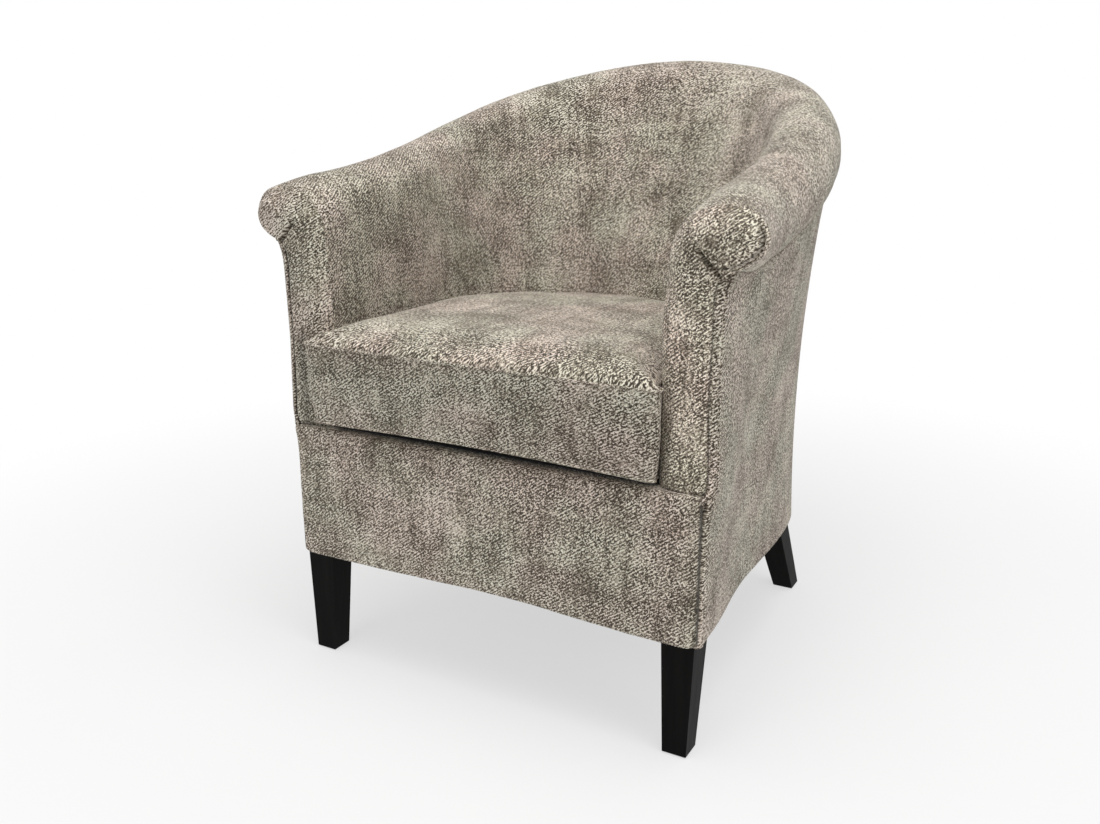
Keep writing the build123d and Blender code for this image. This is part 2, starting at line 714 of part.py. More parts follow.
slider_turn = degrees(SLIDER_LENGTH / 2 / CUSHION_HALF)
slider_start = BACK_MIDDLE - ZIP_HALF_ARC + 2 * slider_turn
slider_height = ZIP_WIDTH + 2 * SLIDER_WRAP
with BuildPart() as zip_slider:
    add(
        arc_block(
            zip_inner + GAP,
            zip_outer + SLIDER_THICK,
            slider_start,
            slider_turn,
            zip_height - slider_height / 2,
            slider_height,
        )
    )
    add(
        arc_block(
            zip_inner,
            zip_outer + GAP,
            slider_start,
            2 * slider_turn,
            zip_height - ZIP_WIDTH / 2 - GAP,
            ZIP_WIDTH + 2 * GAP,
        ),
        mode=Mode.SUBTRACT,
    )
save(zip_slider, "zip_slider")

# Legs with their bolts, inserts and glides
leg_names = ("leg_front_left", "leg_front_right", "leg_rear_left", "leg_rear_right")
feet = []
for label, (top_x, top_y) in zip(leg_names, leg_tops):
    outward = 1 if top_x > 0 else -1
    if "rear" in label:
        foot = (top_x + outward * REAR_SPLAY, top_y + REAR_RAKE)
    else:
        foot = (top_x, top_y - FRONT_RAKE)
    feet.append(foot)
    with BuildPart() as leg:
        with BuildSketch(Plane.XY.offset(GLIDE)):
            with Locations(foot):
                Rectangle(LEG_FOOT - 2 * LEG_EDGE, LEG_FOOT - 2 * LEG_EDGE)
        with BuildSketch(Plane.XY.offset(GLIDE + LEG_EDGE)):
            with Locations(foot):
                Rectangle(LEG_FOOT, LEG_FOOT)
        with BuildSketch(Plane.XY.offset(LEG_HEIGHT)):
            with Locations((top_x, top_y)):
                Rectangle(LEG_TOP, LEG_TOP)
        loft(ruled=True)
        with Locations((top_x, top_y, LEG_HEIGHT)):
            Hole(BOLT / 2 + PLAY, BOLT_IN_LEG)
    save(leg, label)

with BuildPart() as leg_bolts:
    with BuildSketch(Plane.XY.offset(LEG_HEIGHT - BOLT_IN_LEG)):
        with Locations(*leg_tops):
            Circle(BOLT / 2)
    extrude(amount=BOLT_IN_LEG + DUST + PLATE)
save(leg_bolts, "leg_bolts")

with BuildPart() as leg_inserts:
    with BuildSketch(Plane.XY.offset(BODY_FLOOR)):
        with Locations(*leg_tops):
            Circle(INSERT / 2)
            Circle(BOLT / 2 + PLAY, mode=Mode.SUBTRACT)
    extrude(amount=PLATE)
save(leg_inserts, "leg_inserts")

with BuildPart() as glides:
    with BuildSketch():
        with Locations(*feet):
            Circle(GLIDE_DIAMETER / 2)
    extrude(amount=GLIDE)
save(glides, "glides")
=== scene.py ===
# %% [markdown]
# A cabriolet armchair is a small tub chair: one padded wall runs from arm to arm and rolls over at its
# top. The solids come from a CAD model and stay where they are. This lesson dresses them: the covers
# are laid over the same lines that the solids follow, the cushion is inflated as cloth, and every
# finish is built from nodes.

# %% The frame
import json
from math import atan2, cos, pi, radians

import bpy
import numpy as np
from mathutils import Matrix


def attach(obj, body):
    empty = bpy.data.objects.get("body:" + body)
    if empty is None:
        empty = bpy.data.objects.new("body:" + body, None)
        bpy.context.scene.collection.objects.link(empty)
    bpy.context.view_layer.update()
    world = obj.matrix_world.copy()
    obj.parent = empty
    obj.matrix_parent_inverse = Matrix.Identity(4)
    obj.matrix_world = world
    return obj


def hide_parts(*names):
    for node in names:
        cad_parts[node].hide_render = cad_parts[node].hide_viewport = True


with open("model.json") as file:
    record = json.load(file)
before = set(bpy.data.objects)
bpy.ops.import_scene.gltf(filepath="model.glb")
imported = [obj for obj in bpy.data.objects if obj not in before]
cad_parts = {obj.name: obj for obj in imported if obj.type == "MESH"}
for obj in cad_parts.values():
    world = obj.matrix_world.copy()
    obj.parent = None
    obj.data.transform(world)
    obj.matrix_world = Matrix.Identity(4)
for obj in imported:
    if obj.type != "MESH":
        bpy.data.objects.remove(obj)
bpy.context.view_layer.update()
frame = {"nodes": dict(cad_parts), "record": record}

# %% [markdown]
# The tub is described by a few lines that run round it: the inner face at the seat, the crest of the
# roll, the waist and the bottom edge. A maker would draw them full size on a board. Here they are
# numbers in metres, the same ones that the solids were cut from, so that a cover lies on its own piece
# with no fitting by eye. Where a size has three numbers, they hold at the arm's front, at the side and
# at the middle of the back.

# %% Sizes of the tub
SEAT_HALF = 0.228
AXIS_Y, ARM_SEAM, ARM_FRONT = -0.1075, -0.3055, -0.3175
ARM_LENGTH = AXIS_Y - ARM_SEAM
CREST, CREST_SQUARE = (0.296, 0.271, 0.388), 2.55
BASE, BASE_SQUARE = (0.292, 0.272, 0.350), 4.0
WAIST, WAIST_HEIGHT = (-0.004, -0.002, 0.014), 0.300
ROLL = (0.040, 0.050, 0.055)
TUCK = (radians(68), radians(45), radians(45))
SHOULDER = (0.064, 0.039, 0.062)
CREST_LOW, CREST_HIGH, RISE_EARLY, RISE_LATE, BACK_SPAN = 0.639, 0.797, 0.32, 1.8, 0.300
FLOOR_EDGE, ARM_FLOOR, SEAM_HEIGHT = 0.150, 0.3263, 0.443
COVER = 0.0016
PATH_LENGTH = ARM_LENGTH + BACK_SPAN * pi / 2
ARM_SHARE = 0.14
print("half of the tub's wall is", round(PATH_LENGTH, 3), "m long")

# %% Fading from one value to another


def unit(value):
    """A value kept between 0 and 1."""
    return np.clip(value, 0, 1)


def smooth_step(value):
    """From 0 to 1 with no kink at either end."""
    value = unit(value)
    return value**2 * (3 - 2 * value)


def bell(distance, width):
    """1 at no distance, fading to nothing over a few widths."""
    return np.exp(-((distance / width) ** 2))


print("ready: unit, smooth_step, bell")

# %% Lines round the tub


def along_tub(share):
    """Turn, place along the arm, rise and side for shares of the way from right to left."""
    half = np.minimum(share, 1 - share)
    arm = unit(half / ARM_SHARE)
    turn = unit((half - ARM_SHARE) / (0.5 - ARM_SHARE)) * pi / 2
    run = arm * ARM_LENGTH + BACK_SPAN * turn
    return turn, arm, run / PATH_LENGTH, np.where(share > 0.5, -1.0, 1.0)


def settled(arm, front, side):
    """A size along the arm, which soon leaves its value at the front for the one at the side."""
    return front + (side - front) * (1 - (1 - arm) ** 2)


def level(turn, arm, front, side, back, square):
    """Distance of a line from the middle: along the arm, then round a squared oval."""
    oval = ((np.abs(np.cos(turn)) / side) ** square + (np.sin(turn) / back) ** square) ** (-1 / square)
    return np.where(arm < 1, settled(arm, front, side), oval)


def ease(turn, arm, front, side, back):
    """A size along the arm, then from the side to the middle of the back."""
    return np.where(arm < 1, settled(arm, front, side), side + (back - side) * np.sin(turn) ** 2)


def place(turn, arm, side, out, high):
    """Points in the chair's frame from their distance and height in an upright plane of the tub."""
    on_arm = arm < 1
    x = np.where(on_arm, out, out * np.cos(turn)) * side
    y = np.where(on_arm, ARM_SEAM + arm * ARM_LENGTH, AXIS_Y + out * np.sin(turn))
    return np.stack([x, y, high], axis=1)


def roll_sizes(turn, arm, rise):
    """Crest, shoulder, roll, tuck and lean of the section in each plane."""
    climb = RISE_EARLY * np.sin(rise * pi / 2) + (1 - RISE_EARLY) * smooth_step(rise) ** RISE_LATE
    out = level(turn, arm, *CREST, CREST_SQUARE)
    high = CREST_LOW + (CREST_HIGH - CREST_LOW) * climb
    shoulder, roll, tuck = (ease(turn, arm, *sizes) for sizes in (SHOULDER, ROLL, TUCK))
    across, up = out - SEAT_HALF, high - shoulder - SEAM_HEIGHT
    lean = np.arctan2(across, up) - np.arcsin(shoulder / np.hypot(across, up))
    return out, high, shoulder, roll, tuck, lean


print("crest of the roll from", CREST_LOW, "to", CREST_HIGH, "m high")

# %% Section of the padded inside
STRAIGHT_ROWS, ARC_ROWS, CROWDING = 76, 42, 1.5
INSIDE_ROWS = STRAIGHT_ROWS + 2 * ARC_ROWS
BEND_RUN = 0.03
FULL_DEPTH, FULL_HEIGHT, FULL_SPAN = 0.0035, 0.500, 0.05
END_SHARE, END_INNER = 0.30, 0.008
END_ANGLES = np.radians([-70, -55, -40, -27, -10, 5, 27, 60, 90])
END_DRAWN = np.array([0.0060, 0.0056, 0.0042, 0.0010, -0.0020, -0.0028, 0.0, 0.0050, 0.0080])


def near_end(arm, length):
    """Fades from 1 at the arm's front to 0 at a share of its length."""
    return np.where(arm < 1, unit(1 - arm / length) ** 2, 0)


def inside_section(turn, arm, rise, row):
    """Distance, height and cloth length of rows from the foot of the inside to the roll's tuck."""
    out, high, shoulder, roll, tuck, lean = roll_sizes(turn, arm, rise)
    start_out, start_high = out - shoulder * np.cos(lean), high - shoulder + shoulder * np.sin(lean)
    wall = SEAM_HEIGHT - ARM_FLOOR
    slope = np.hypot(start_out - SEAT_HALF, start_high - SEAM_HEIGHT)
    straight = (1 - (1 - unit(row / STRAIGHT_ROWS)) ** CROWDING) * (wall + slope)
    beyond = np.clip(straight - wall, 0, None)
    bend = np.where(beyond < BEND_RUN, beyond**2 / (2 * BEND_RUN), beyond - BEND_RUN / 2)
    bend = bend * (slope / (slope - BEND_RUN / 2))
    line_out = SEAT_HALF + (start_out - SEAT_HALF) * bend / slope
    line_high = np.where(straight < wall, ARM_FLOOR + straight,
                         SEAM_HEIGHT + (start_high - SEAM_HEIGHT) * beyond / slope)
    first = unit((row - STRAIGHT_ROWS) / ARC_ROWS)
    second = unit((row - STRAIGHT_ROWS - ARC_ROWS) / ARC_ROWS)
    up_angle = lean + (pi / 2 - lean) * first
    over_angle = pi / 2 - (pi / 2 + tuck) * second
    on_line, on_shoulder = row <= STRAIGHT_ROWS, row <= STRAIGHT_ROWS + ARC_ROWS
    reach = np.select(
        [on_line, on_shoulder],
        [line_out, out - shoulder * np.cos(up_angle)],
        out + roll * np.cos(over_angle),
    )
    height = np.select(
        [on_line, on_shoulder],
        [line_high, high - shoulder + shoulder * np.sin(up_angle)],
        high - roll + roll * np.sin(over_angle),
    )
    full = FULL_DEPTH * bell(height - FULL_HEIGHT, FULL_SPAN) * (1 - 0.5 * arm) * np.cos(turn) ** 2
    reach = reach - np.where(on_shoulder, full, 0.0)
    drawn = near_end(arm, END_SHARE)
    inner, outer = END_INNER * drawn * first**2, drawn * np.interp(over_angle, END_ANGLES, END_DRAWN)
    reach = reach + np.where(on_shoulder, inner * np.cos(up_angle), -outer * np.cos(over_angle))
    height = height - np.where(on_shoulder, inner * np.sin(up_angle), outer * np.sin(over_angle))
    length = straight + shoulder * (up_angle - lean) + roll * (pi / 2 - over_angle)
    return reach, height, length


print("inside section has", INSIDE_ROWS, "rows")

# %% Section of the outside panel
WRAP, WRAP_TOP, WRAP_LOW, WRAP_TURN = 0.0105, 0.0130, 0.0128, radians(80)
WRAP_DEPTH, WRAP_DEEPER = 0.0108, (0.0132, 0.0042)
SIDE_HEIGHTS = [0.10, 0.150, 0.180, 0.216, 0.260, 0.300, 0.320, 0.340,
                0.380, 0.436, 0.488, 0.530, 0.550, 0.5687, 0.600]
SIDE_REACH = [0.288, 0.2890, 0.2897, 0.2900, 0.2900, 0.2912, 0.2950, 0.2985,
              0.2972, 0.2953, 0.2962, 0.2976, 0.3000, 0.3082, 0.3222]
SOFT_STEPS, SOFT_WIDTH = 20, 7.0
fine_heights = np.linspace(0.10, 0.60, 501)
softening = bell(np.arange(-SOFT_STEPS, SOFT_STEPS + 1), SOFT_WIDTH)
plain_reach = np.interp(fine_heights, SIDE_HEIGHTS, SIDE_REACH)
longer_reach = np.pad(plain_reach, SOFT_STEPS, "reflect", reflect_type="odd")
fine_reach = np.convolve(longer_reach, softening / softening.sum(), "valid")


def padded_side(height):
    """Distance of the padded arm's outer side at its front."""
    return np.interp(height, fine_heights, fine_reach)


def outside_section(turn, arm, rise, drop):
    """Distance and height down the outside panel; next to the arm's front it follows the padded arm."""
    out, high, _, roll, tuck, _ = roll_sizes(turn, arm, rise)
    base = level(turn, arm, *BASE, BASE_SQUARE)
    waist = base - ease(turn, arm, *WAIST)
    round_end = roll - near_end(arm, END_SHARE) * np.interp(-tuck, END_ANGLES, END_DRAWN)
    top_out, top_high = out + round_end * np.cos(tuck), high - roll - round_end * np.sin(tuck)
    upper = np.hypot(top_out - waist, top_high - WAIST_HEIGHT)
    knot = upper / (upper + np.hypot(waist - base, WAIST_HEIGHT - FLOOR_EDGE))
    weights = (
        (drop - knot) * (drop - 1) / knot,
        drop * (drop - 1) / (knot * (knot - 1)),
        drop * (drop - knot) / (1 - knot),
    )
    reach = weights[0] * top_out + weights[1] * waist + weights[2] * base
    height = weights[0] * top_high + weights[1] * WAIST_HEIGHT + weights[2] * FLOOR_EDGE
    return reach + (padded_side(height) - reach) * near_end(arm, 1.0), height


def below_arm(height):
    """0 beside the arm's front and 1 beside the border under it."""
    return smooth_step((ARM_FLOOR + 0.006 - height) / 0.014)


def wrap_at(height):
    """How far the closing seam lies in from the arm's outer side."""
    above = WRAP + (WRAP_TOP - WRAP) * unit((height - 0.50) / 0.06)
    return above + (WRAP_LOW - above) * below_arm(height)


def wrap_depth(height, side):
    """How far forward the panel goes round the corner: more at the border than at the arm's front."""
    return WRAP_DEPTH + np.where(side > 0, *WRAP_DEEPER) * below_arm(height)


print("outer side of the arm from", fine_reach.min().round(4), "to", fine_reach.max().round(4), "m out")

# %% [markdown]
# A cover that bends two ways is hard to pull out of a cube, but easy to lay out as cloth: a flat grid is
# added as a primitive, and each of its points is moved to its own place on the form. The grid's rows and
# columns then follow the warp and weft, so a cloth map in metres comes with it, and the weave later runs
# as it does on the real chair. Each piece is cut some metres further along the cloth, so that no two show
# the same yarn. Each point also keeps a factor of painted light on the cloth's colour, which paints shade
# into creases and gaps and makes some faces lighter or darker, and how strongly its threads differ
# (yarn).

# %% Laying a grid on a form


def points_of(piece):
    """The places of a piece's points."""
    flat = np.empty(len(piece.data.vertices) * 3)
    piece.data.vertices.foreach_get("co", flat)
    return flat.reshape(-1, 3)


def move_points(piece, points):
    """Puts a piece's points in new places."""
    piece.data.vertices.foreach_set("co", points.astype(np.float32).ravel())
    piece.data.update()


def lay_grid(name, columns, rows, form, nap=1.0, yarn=1.0):
    """A grid whose points go where form(column, row) says, with its cloth map in metres, its factor of
    painted light on the colour, and yarn.
    """
    bpy.ops.object.select_all(action="DESELECT")
    bpy.ops.mesh.primitive_grid_add(x_subdivisions=columns, y_subdivisions=rows, size=2)
    piece = bpy.context.object
    piece.name = piece.data.name = name
    flat = points_of(piece)
    points, cloth = form(np.rint((flat[:, 0] + 1) / 2 * columns), np.rint((flat[:, 1] + 1) / 2 * rows))
    layer = piece.data.uv_layers[0]
    layer.name = "Cloth"
    corner = np.empty(len(piece.data.loops), np.int32)
    piece.data.loops.foreach_get("vertex_index", corner)
    layer.data.foreach_set("uv", cloth[corner].astype(np.float32).ravel())
    for kind, value in (("nap", nap), ("yarn", yarn)):
        given = np.full(len(points), value) if np.isscalar(value) else value(points)
        attribute = piece.data.attributes.new(kind, "FLOAT", "POINT")
        attribute.data.foreach_set("value", given.astype(np.float32))
    move_points(piece, points)
    return piece


print("ready: lay_grid")

# %% Joining, turning and thickening


def choose(*pieces):
    """Selects these pieces alone and makes the first one active."""
    bpy.ops.object.select_all(action="DESELECT")
    for piece in pieces:
        piece.select_set(True)
    bpy.context.view_layer.objects.active = pieces[0]


def merge_pieces(pieces, name, gap=0.00002):
    """Joins pieces into one mesh, merges the points that meet and turns its faces outwards."""
    choose(*pieces)
    if len(pieces) > 1:
        bpy.ops.object.join()
    piece = bpy.context.object
    piece.name = piece.data.name = name
    bpy.ops.object.mode_set(mode="EDIT")
    bpy.ops.mesh.select_all(action="SELECT")
    bpy.ops.mesh.remove_doubles(threshold=gap)
    bpy.ops.mesh.normals_make_consistent(inside=False)
    bpy.ops.object.mode_set(mode="OBJECT")
    bpy.ops.object.shade_smooth()
    return piece


def face_side(piece, inside_point):
    """Turns an open sheet so that its faces look away from a point behind it."""
    faces = piece.data.polygons
    centres, normals, areas = np.empty(len(faces) * 3), np.empty(len(faces) * 3), np.empty(len(faces))
    for kind, values in (("center", centres), ("normal", normals), ("area", areas)):
        faces.foreach_get(kind, values)
    centres = centres.reshape(-1, 3)
    away = ((centres - inside_point(centres)) * normals.reshape(-1, 3)).sum(1)
    if (away * areas).sum() < 0:
        piece.data.flip_normals()


def apply_modifier(piece, modifier):
    choose(piece)
    bpy.ops.object.modifier_apply(modifier=modifier.name)


def finish_with(piece, kind, **settings):
    """Adds a modifier to a piece and applies it."""
    modifier = piece.modifiers.new(kind.title(), kind)
    for key, value in settings.items():
        setattr(modifier, key, value)
    apply_modifier(piece, modifier)


def thicken(piece, thickness):
    """Gives a sheet its thickness, behind the face that shows."""
    finish_with(piece, "SOLIDIFY", thickness=thickness, offset=-1)
    print(piece.name, "has", len(piece.data.polygons), "faces")


def soft_swell(piece, name, size, strength):
    """Shallow unevenness of stuffing under cloth."""
    stuffing = bpy.data.textures.new(name, "CLOUDS")
    stuffing.noise_scale, stuffing.noise_depth = size, 1
    finish_with(piece, "DISPLACE", texture=stuffing, texture_coords="LOCAL",
                strength=strength, mid_level=0.5)


print("ready: merge_pieces, face_side, thicken, soft_swell")

# %% [markdown]
# The inside cover is one cloth that goes up the inside of the tub and over the roll. Where it reaches
# an arm front it wraps round a soft edge and closes the end of the roll. The wall of the tub is one
# grid, and each arm front is a second grid whose rows run from the edge of the section in to a line
# along its middle, so that the two meet point for point and can be merged.

# %% Wall of the inside cover
WALL_COLUMNS, WALL_SPAN, WALL_YARN = 170, 0.30, 1.06


def whole_run(along, side, span):
    """Run from the right arm's front, from the run along either half; a radian of turn takes a span."""
    return np.where(side > 0, along, 2 * (ARM_LENGTH + span / 2 * pi) - along)


def inside_form(column, row):
    turn, arm, rise, side = along_tub(column / WALL_COLUMNS)
    reach, height, length = inside_section(turn, arm, rise, row)
    along = whole_run(arm * ARM_LENGTH + WALL_SPAN * turn, side, WALL_SPAN)
    return place(turn, arm, side, reach, height), np.stack([-along, length], axis=1)


def inside_painted_shade(points):
    """Painted shade: the inside is a little darker towards the left arm, below the roll."""
    x, _, z = points.T
    return 0.985 - 0.100 * unit(-x / 0.2) * unit((0.62 - z) / 0.06)


inside_wall = lay_grid("inside_wall", WALL_COLUMNS, INSIDE_ROWS, inside_form, inside_painted_shade, WALL_YARN)
print("inside wall", len(inside_wall.data.vertices), "points")

# %% Edge and middle of an arm front
CAP_COLUMNS, CAP_ROWS = 2 * (STRAIGHT_ROWS + ARC_ROWS), 64
PANEL_STEPS = 400
roll_heart = np.array([CREST[0], CREST_LOW - ROLL[0]])


def arm_edge(column):
    """Edge of the right arm's front: up the inside, over the roll to its tuck, then down the outside."""
    flat = np.zeros_like(column)
    reach, height, _ = inside_section(flat, flat, flat, np.clip(column, 0, INSIDE_ROWS))
    down = unit((column - INSIDE_ROWS) / STRAIGHT_ROWS) ** CROWDING
    drops = np.linspace(0, 1, PANEL_STEPS)
    panel_out, panel_high = outside_section(drops * 0, drops * 0, drops * 0, drops)
    drop = down * np.interp(-ARM_FLOOR, -panel_high, drops)
    side_out, side_high = np.interp(drop, drops, panel_out), np.interp(drop, drops, panel_high)
    side_out = side_out - wrap_at(side_high) * np.sin(unit(down / 0.07) * pi / 2)
    outside = column > INSIDE_ROWS
    return np.stack([np.where(outside, side_out, reach), np.where(outside, side_high, height)], axis=1)


def arm_middle(column):
    """Line along the middle of the arm's front, up into the roll's end."""
    paired = np.minimum(column, CAP_COLUMNS - column)
    middle = (arm_edge(paired) + arm_edge(CAP_COLUMNS - paired)) / 2
    knee_at = np.array([float(STRAIGHT_ROWS)])
    knee = (arm_edge(knee_at) + arm_edge(CAP_COLUMNS - knee_at))[0] / 2
    inward = unit((paired - STRAIGHT_ROWS) / ARC_ROWS)[:, None]
    top = roll_heart - np.array([0.006, 0.001])
    return np.where(paired[:, None] <= STRAIGHT_ROWS, middle, knee + (top - knee) * inward)


print("middle of the roll's end", roll_heart.round(4))

# %% Relief of an arm front
NOTCH, PLEAT_END = np.array([0.2960, 0.5585]), np.array([0.2630, 0.5950])
PLEAT_DEPTH, PLEAT_WIDTH, PLEAT_LIPS, PLEAT_SOFT = 0.0110, 0.0018, (0.0034, 0.0008), 0.011
DOME_DEPTH, DOME_REACH = 0.0075, 0.046
POST_DEPTH, POST_MIDDLE, POST_HALF = 0.0035, 0.262, 0.036


def rounding(column):
    """How wide the rounding of the arm's front edge is: soft inside and over the top, tight outside."""
    over = STRAIGHT_ROWS + ARC_ROWS
    stops = [0, STRAIGHT_ROWS, over, STRAIGHT_ROWS + 1.5 * ARC_ROWS, INSIDE_ROWS, CAP_COLUMNS]
    return np.interp(column, stops, [0.020, 0.022, 0.028, 0.016, 0.007, 0.005])


def segment_distance(points, start, end):
    """Distance from a segment, the side of it and the share of the way along it."""
    along = end - start
    share = unit(((points - start) @ along) / (along @ along))
    offset = points - (start + share[:, None] * along)
    side = along[0] * (points[:, 1] - start[1]) - along[1] * (points[:, 0] - start[0])
    return np.hypot(offset[:, 0], offset[:, 1]), np.where(side > 0, 1.0, -1.0), share


def front_relief(points):
    """How far the arm's front stands forward: a domed roll end, a full post and a pleat between."""
    dome = DOME_DEPTH * unit(1 - (np.hypot(*(points - roll_heart).T) / DOME_REACH) ** 2)
    post = POST_DEPTH * unit(1 - ((points[:, 0] - POST_MIDDLE) / POST_HALF) ** 2)
    relief = np.maximum(dome, post * unit((0.575 - points[:, 1]) / 0.03))
    gap, side, share = segment_distance(points, NOTCH, PLEAT_END)
    fade = unit((1 - share) / 0.3)
    relief -= fade * PLEAT_DEPTH * bell(gap, PLEAT_WIDTH)
    relief += fade * np.where(side < 0, *PLEAT_LIPS) * np.exp(-gap / PLEAT_SOFT) * unit(gap / 0.0015)
    return relief


def rounded(turned, power):
    """Profile of a soft edge, from 0 at the edge to 1 where the front is flat."""
    return 1 - (1 - turned) ** power


def extra_cloth(turned, width, depth, power):
    """Cloth that a rounded edge takes beyond its flat width, up to a place on it."""
    steps = np.linspace(0, 1, 25)[None, :] * turned[:, None]
    rise = depth[:, None] * rounded(steps, power[:, None])
    run = width[:, None] * steps
    return np.hypot(np.diff(rise, axis=1), np.diff(run, axis=1)).sum(1) - width * turned


print("pleat", np.hypot(*(PLEAT_END - NOTCH)).round(4), "m long")

# %% Form of an arm front
GROOVE_INSET, GROOVE_DEPTH, GROOVE_WIDTH = 0.0060, 0.0062, 0.0020
SEAM_START, LEFT_CLOTH = 0.0078, 3.3


def cap_form(column, row):
    """Right arm front: rows go from the edge of the section in to its middle line."""
    edge, middle = arm_edge(column), arm_middle(column)
    share = (row / CAP_ROWS) ** 1.35
    points = edge + (middle - edge) * share[:, None]
    span = np.hypot(*(middle - edge).T)
    width = np.minimum(rounding(column), span)
    turned = unit(share * span / np.maximum(width, 1e-6))
    outside = unit((column - INSIDE_ROWS) / 6)
    start = SEAM_START * outside
    depth = ARM_SEAM - ARM_FRONT - start
    power = 2.4 + 0.8 * outside
    settle_in = 1 - 0.25 * np.exp(-(points[:, 1] - ARM_FLOOR) / 0.003)
    forward = start + depth * rounded(turned, power) * settle_in
    forward = forward + front_relief(points) * turned**2 * settle_in
    outer_rim = unit((column - INSIDE_ROWS + 0.8 * ARC_ROWS) / (0.3 * ARC_ROWS))
    brim = outer_rim * unit((INSIDE_ROWS + 4 - column) / 4)
    forward -= GROOVE_DEPTH * brim * bell(share * span - GROOVE_INSET, GROOVE_WIDTH)
    outward = (edge - middle) / np.maximum(span, 1e-6)[:, None]
    whole = extra_cloth(np.ones_like(turned), width, depth, power)
    spare = whole - extra_cloth(turned, width, depth, power)
    cloth = points + outward * spare[:, None] - np.array([SEAT_HALF, ARM_FLOOR])
    return np.stack([points[:, 0], ARM_SEAM - forward, points[:, 1]], axis=1), cloth


def mirrored_form(form):
    """The same form on the other side of the chair, from another part of the cloth."""
    def other(column, row):
        points, cloth = form(column, row)
        return points * np.array([-1, 1, 1]), cloth * np.array([-1, 1]) + np.array([LEFT_CLOTH, 0])
    return other


print("groove", GROOVE_DEPTH, "m deep inside the roll's edge")

# %% Painted light on the arm fronts
RIGHT_YARN, LEFT_YARN = 0.86, 1.05
# Place, width and top of the cushion's painted shadow on the left arm's front.
SHADOW_AT, SHADOW_WIDTH, SHADOW_TOP = 0.2665, 0.0085, 0.462
roll_rim = arm_edge(np.linspace(INSIDE_ROWS - 1.3 * ARC_ROWS, INSIDE_ROWS, 300)) - roll_heart
rim_angle, rim_reach = np.arctan2(roll_rim[:, 1], roll_rim[:, 0]), np.hypot(*roll_rim.T)


def brim_line(points):
    """The groove inside the outer and lower edge of the roll's end, from 0 beside it to 1 in it."""
    out, up = np.abs(points[:, 0]) - roll_heart[0], points[:, 2] - roll_heart[1]
    angle = np.arctan2(up, out)
    inside = np.interp(angle, rim_angle[::-1], rim_reach[::-1]) - np.hypot(out, up)
    return bell(inside - GROOVE_INSET, 0.0017) * unit((0.5 - angle) / 0.3) * unit((angle + 1.9) / 0.2)


def front_painted_light(points):
    """Painted light on the right arm's front: lighter, less so over the roll, with painted shade in the
    groove.
    """
    return (1.30 - 0.19 * unit((points[:, 2] - 0.50) / 0.06)) * (1 - 0.55 * brim_line(points))


def cushion_painted_shadow(points):
    """Painted shadow of the cushion: a darker strip on the left arm's front beside it, up to about the
    cushion's top.
    """
    beside = bell(np.abs(points[:, 0]) - SHADOW_AT, SHADOW_WIDTH)
    return 0.98 - 0.42 * beside * unit((SHADOW_TOP - points[:, 2]) / 0.02)


right_cap = lay_grid("right_cap", CAP_COLUMNS, CAP_ROWS, cap_form, front_painted_light, RIGHT_YARN)
left_cap = lay_grid("left_cap", CAP_COLUMNS, CAP_ROWS, mirrored_form(cap_form), cushion_painted_shadow, LEFT_YARN)
print("each arm front", len(right_cap.data.vertices), "points")

# %% One inside cover


def behind_tub(points):
    """A point inside the padding next to each point of the wall."""
    x, y, z = points.T
    angle = np.arctan2(np.maximum(y - AXIS_Y, 0), x)
    back = np.where(y > AXIS_Y, AXIS_Y + 0.34 * np.sin(angle), y)
    return np.stack([0.30 * np.cos(angle), back, np.minimum(z, 0.56)], axis=1)


tub_inside = merge_pieces([inside_wall, right_cap, left_cap], "tub_inside")
face_side(tub_inside, behind_tub)
soft_swell(tub_inside, "stuffing", 0.07, 0.0024)
thicken(tub_inside, COVER)

# %% [markdown]
# The outside cover is a plain panel, hung from under the roll and drawn tight to the bottom edge, where
# it turns under. Cloth pulled like that shows faint upright creases, strongest near the roll and fading
# down the panel. Its front edge is folded under and closed against the arm front, which leaves a narrow
# raised band.

# %% Creases and folded edges
FOLD, FOLD_STEP, FOLD_LINE, FOLD_DIVE = 0.0100, 0.0013, 0.0012, 0.0018
LIP, LIP_HEIGHT, LIP_DIVE, LIP_GAP = 0.0085, 0.0026, 0.0016, 0.0085
CREASE_DEPTH = 0.0011


def creases(along, drop):
    """Upright pulls in the panel, as a sum of waves that don't repeat."""
    fine = np.sin(along * 95 + 1.3 * np.sin(along * 17))
    waves = fine + 0.7 * np.sin(along * 163 + 2.1 * np.sin(along * 29 + 1))
    broad = np.sin(along * 31 + 0.8)
    return (0.55 * waves * np.exp(-drop * 3.2) + 0.35 * broad * np.sin(pi * unit(drop))) * CREASE_DEPTH


def folded_edge(distance):
    """The front edge is folded under, which leaves a low step and a line beside it."""
    step = FOLD_STEP * smooth_step((FOLD - distance) / 0.0012)
    line = FOLD_LINE * bell(distance - FOLD - 0.0006, 0.0009)
    return step - line - FOLD_DIVE * bell(distance, 0.0012)


def border_lip(distance):
    """Next to the border the folded edge makes a lip, and the cloth dives into the gap there."""
    lip = LIP_HEIGHT * smooth_step((LIP - distance) / 0.0012) - 0.0008 * bell(distance - 0.0092, 0.0009)
    return lip - LIP_DIVE * bell(distance, 0.0014) - LIP_GAP * smooth_step(-distance / 0.0022)


print("front edge folded under for", FOLD, "m")

# %% Outside cover
WRAP_COLUMNS, OUTSIDE_ROWS, HEM_ROWS = 40, 76, 6
BACK_COLUMNS = 190
OUTSIDE_COLUMNS, DROP_ROWS = BACK_COLUMNS + 2 * WRAP_COLUMNS, OUTSIDE_ROWS - HEM_ROWS
OUTSIDE_SPAN, OUTSIDE_YARN, OUTSIDE_CLOTH = 0.31, 1.12, 5.0
HEM, LIP_TURN = 0.010, radians(38)


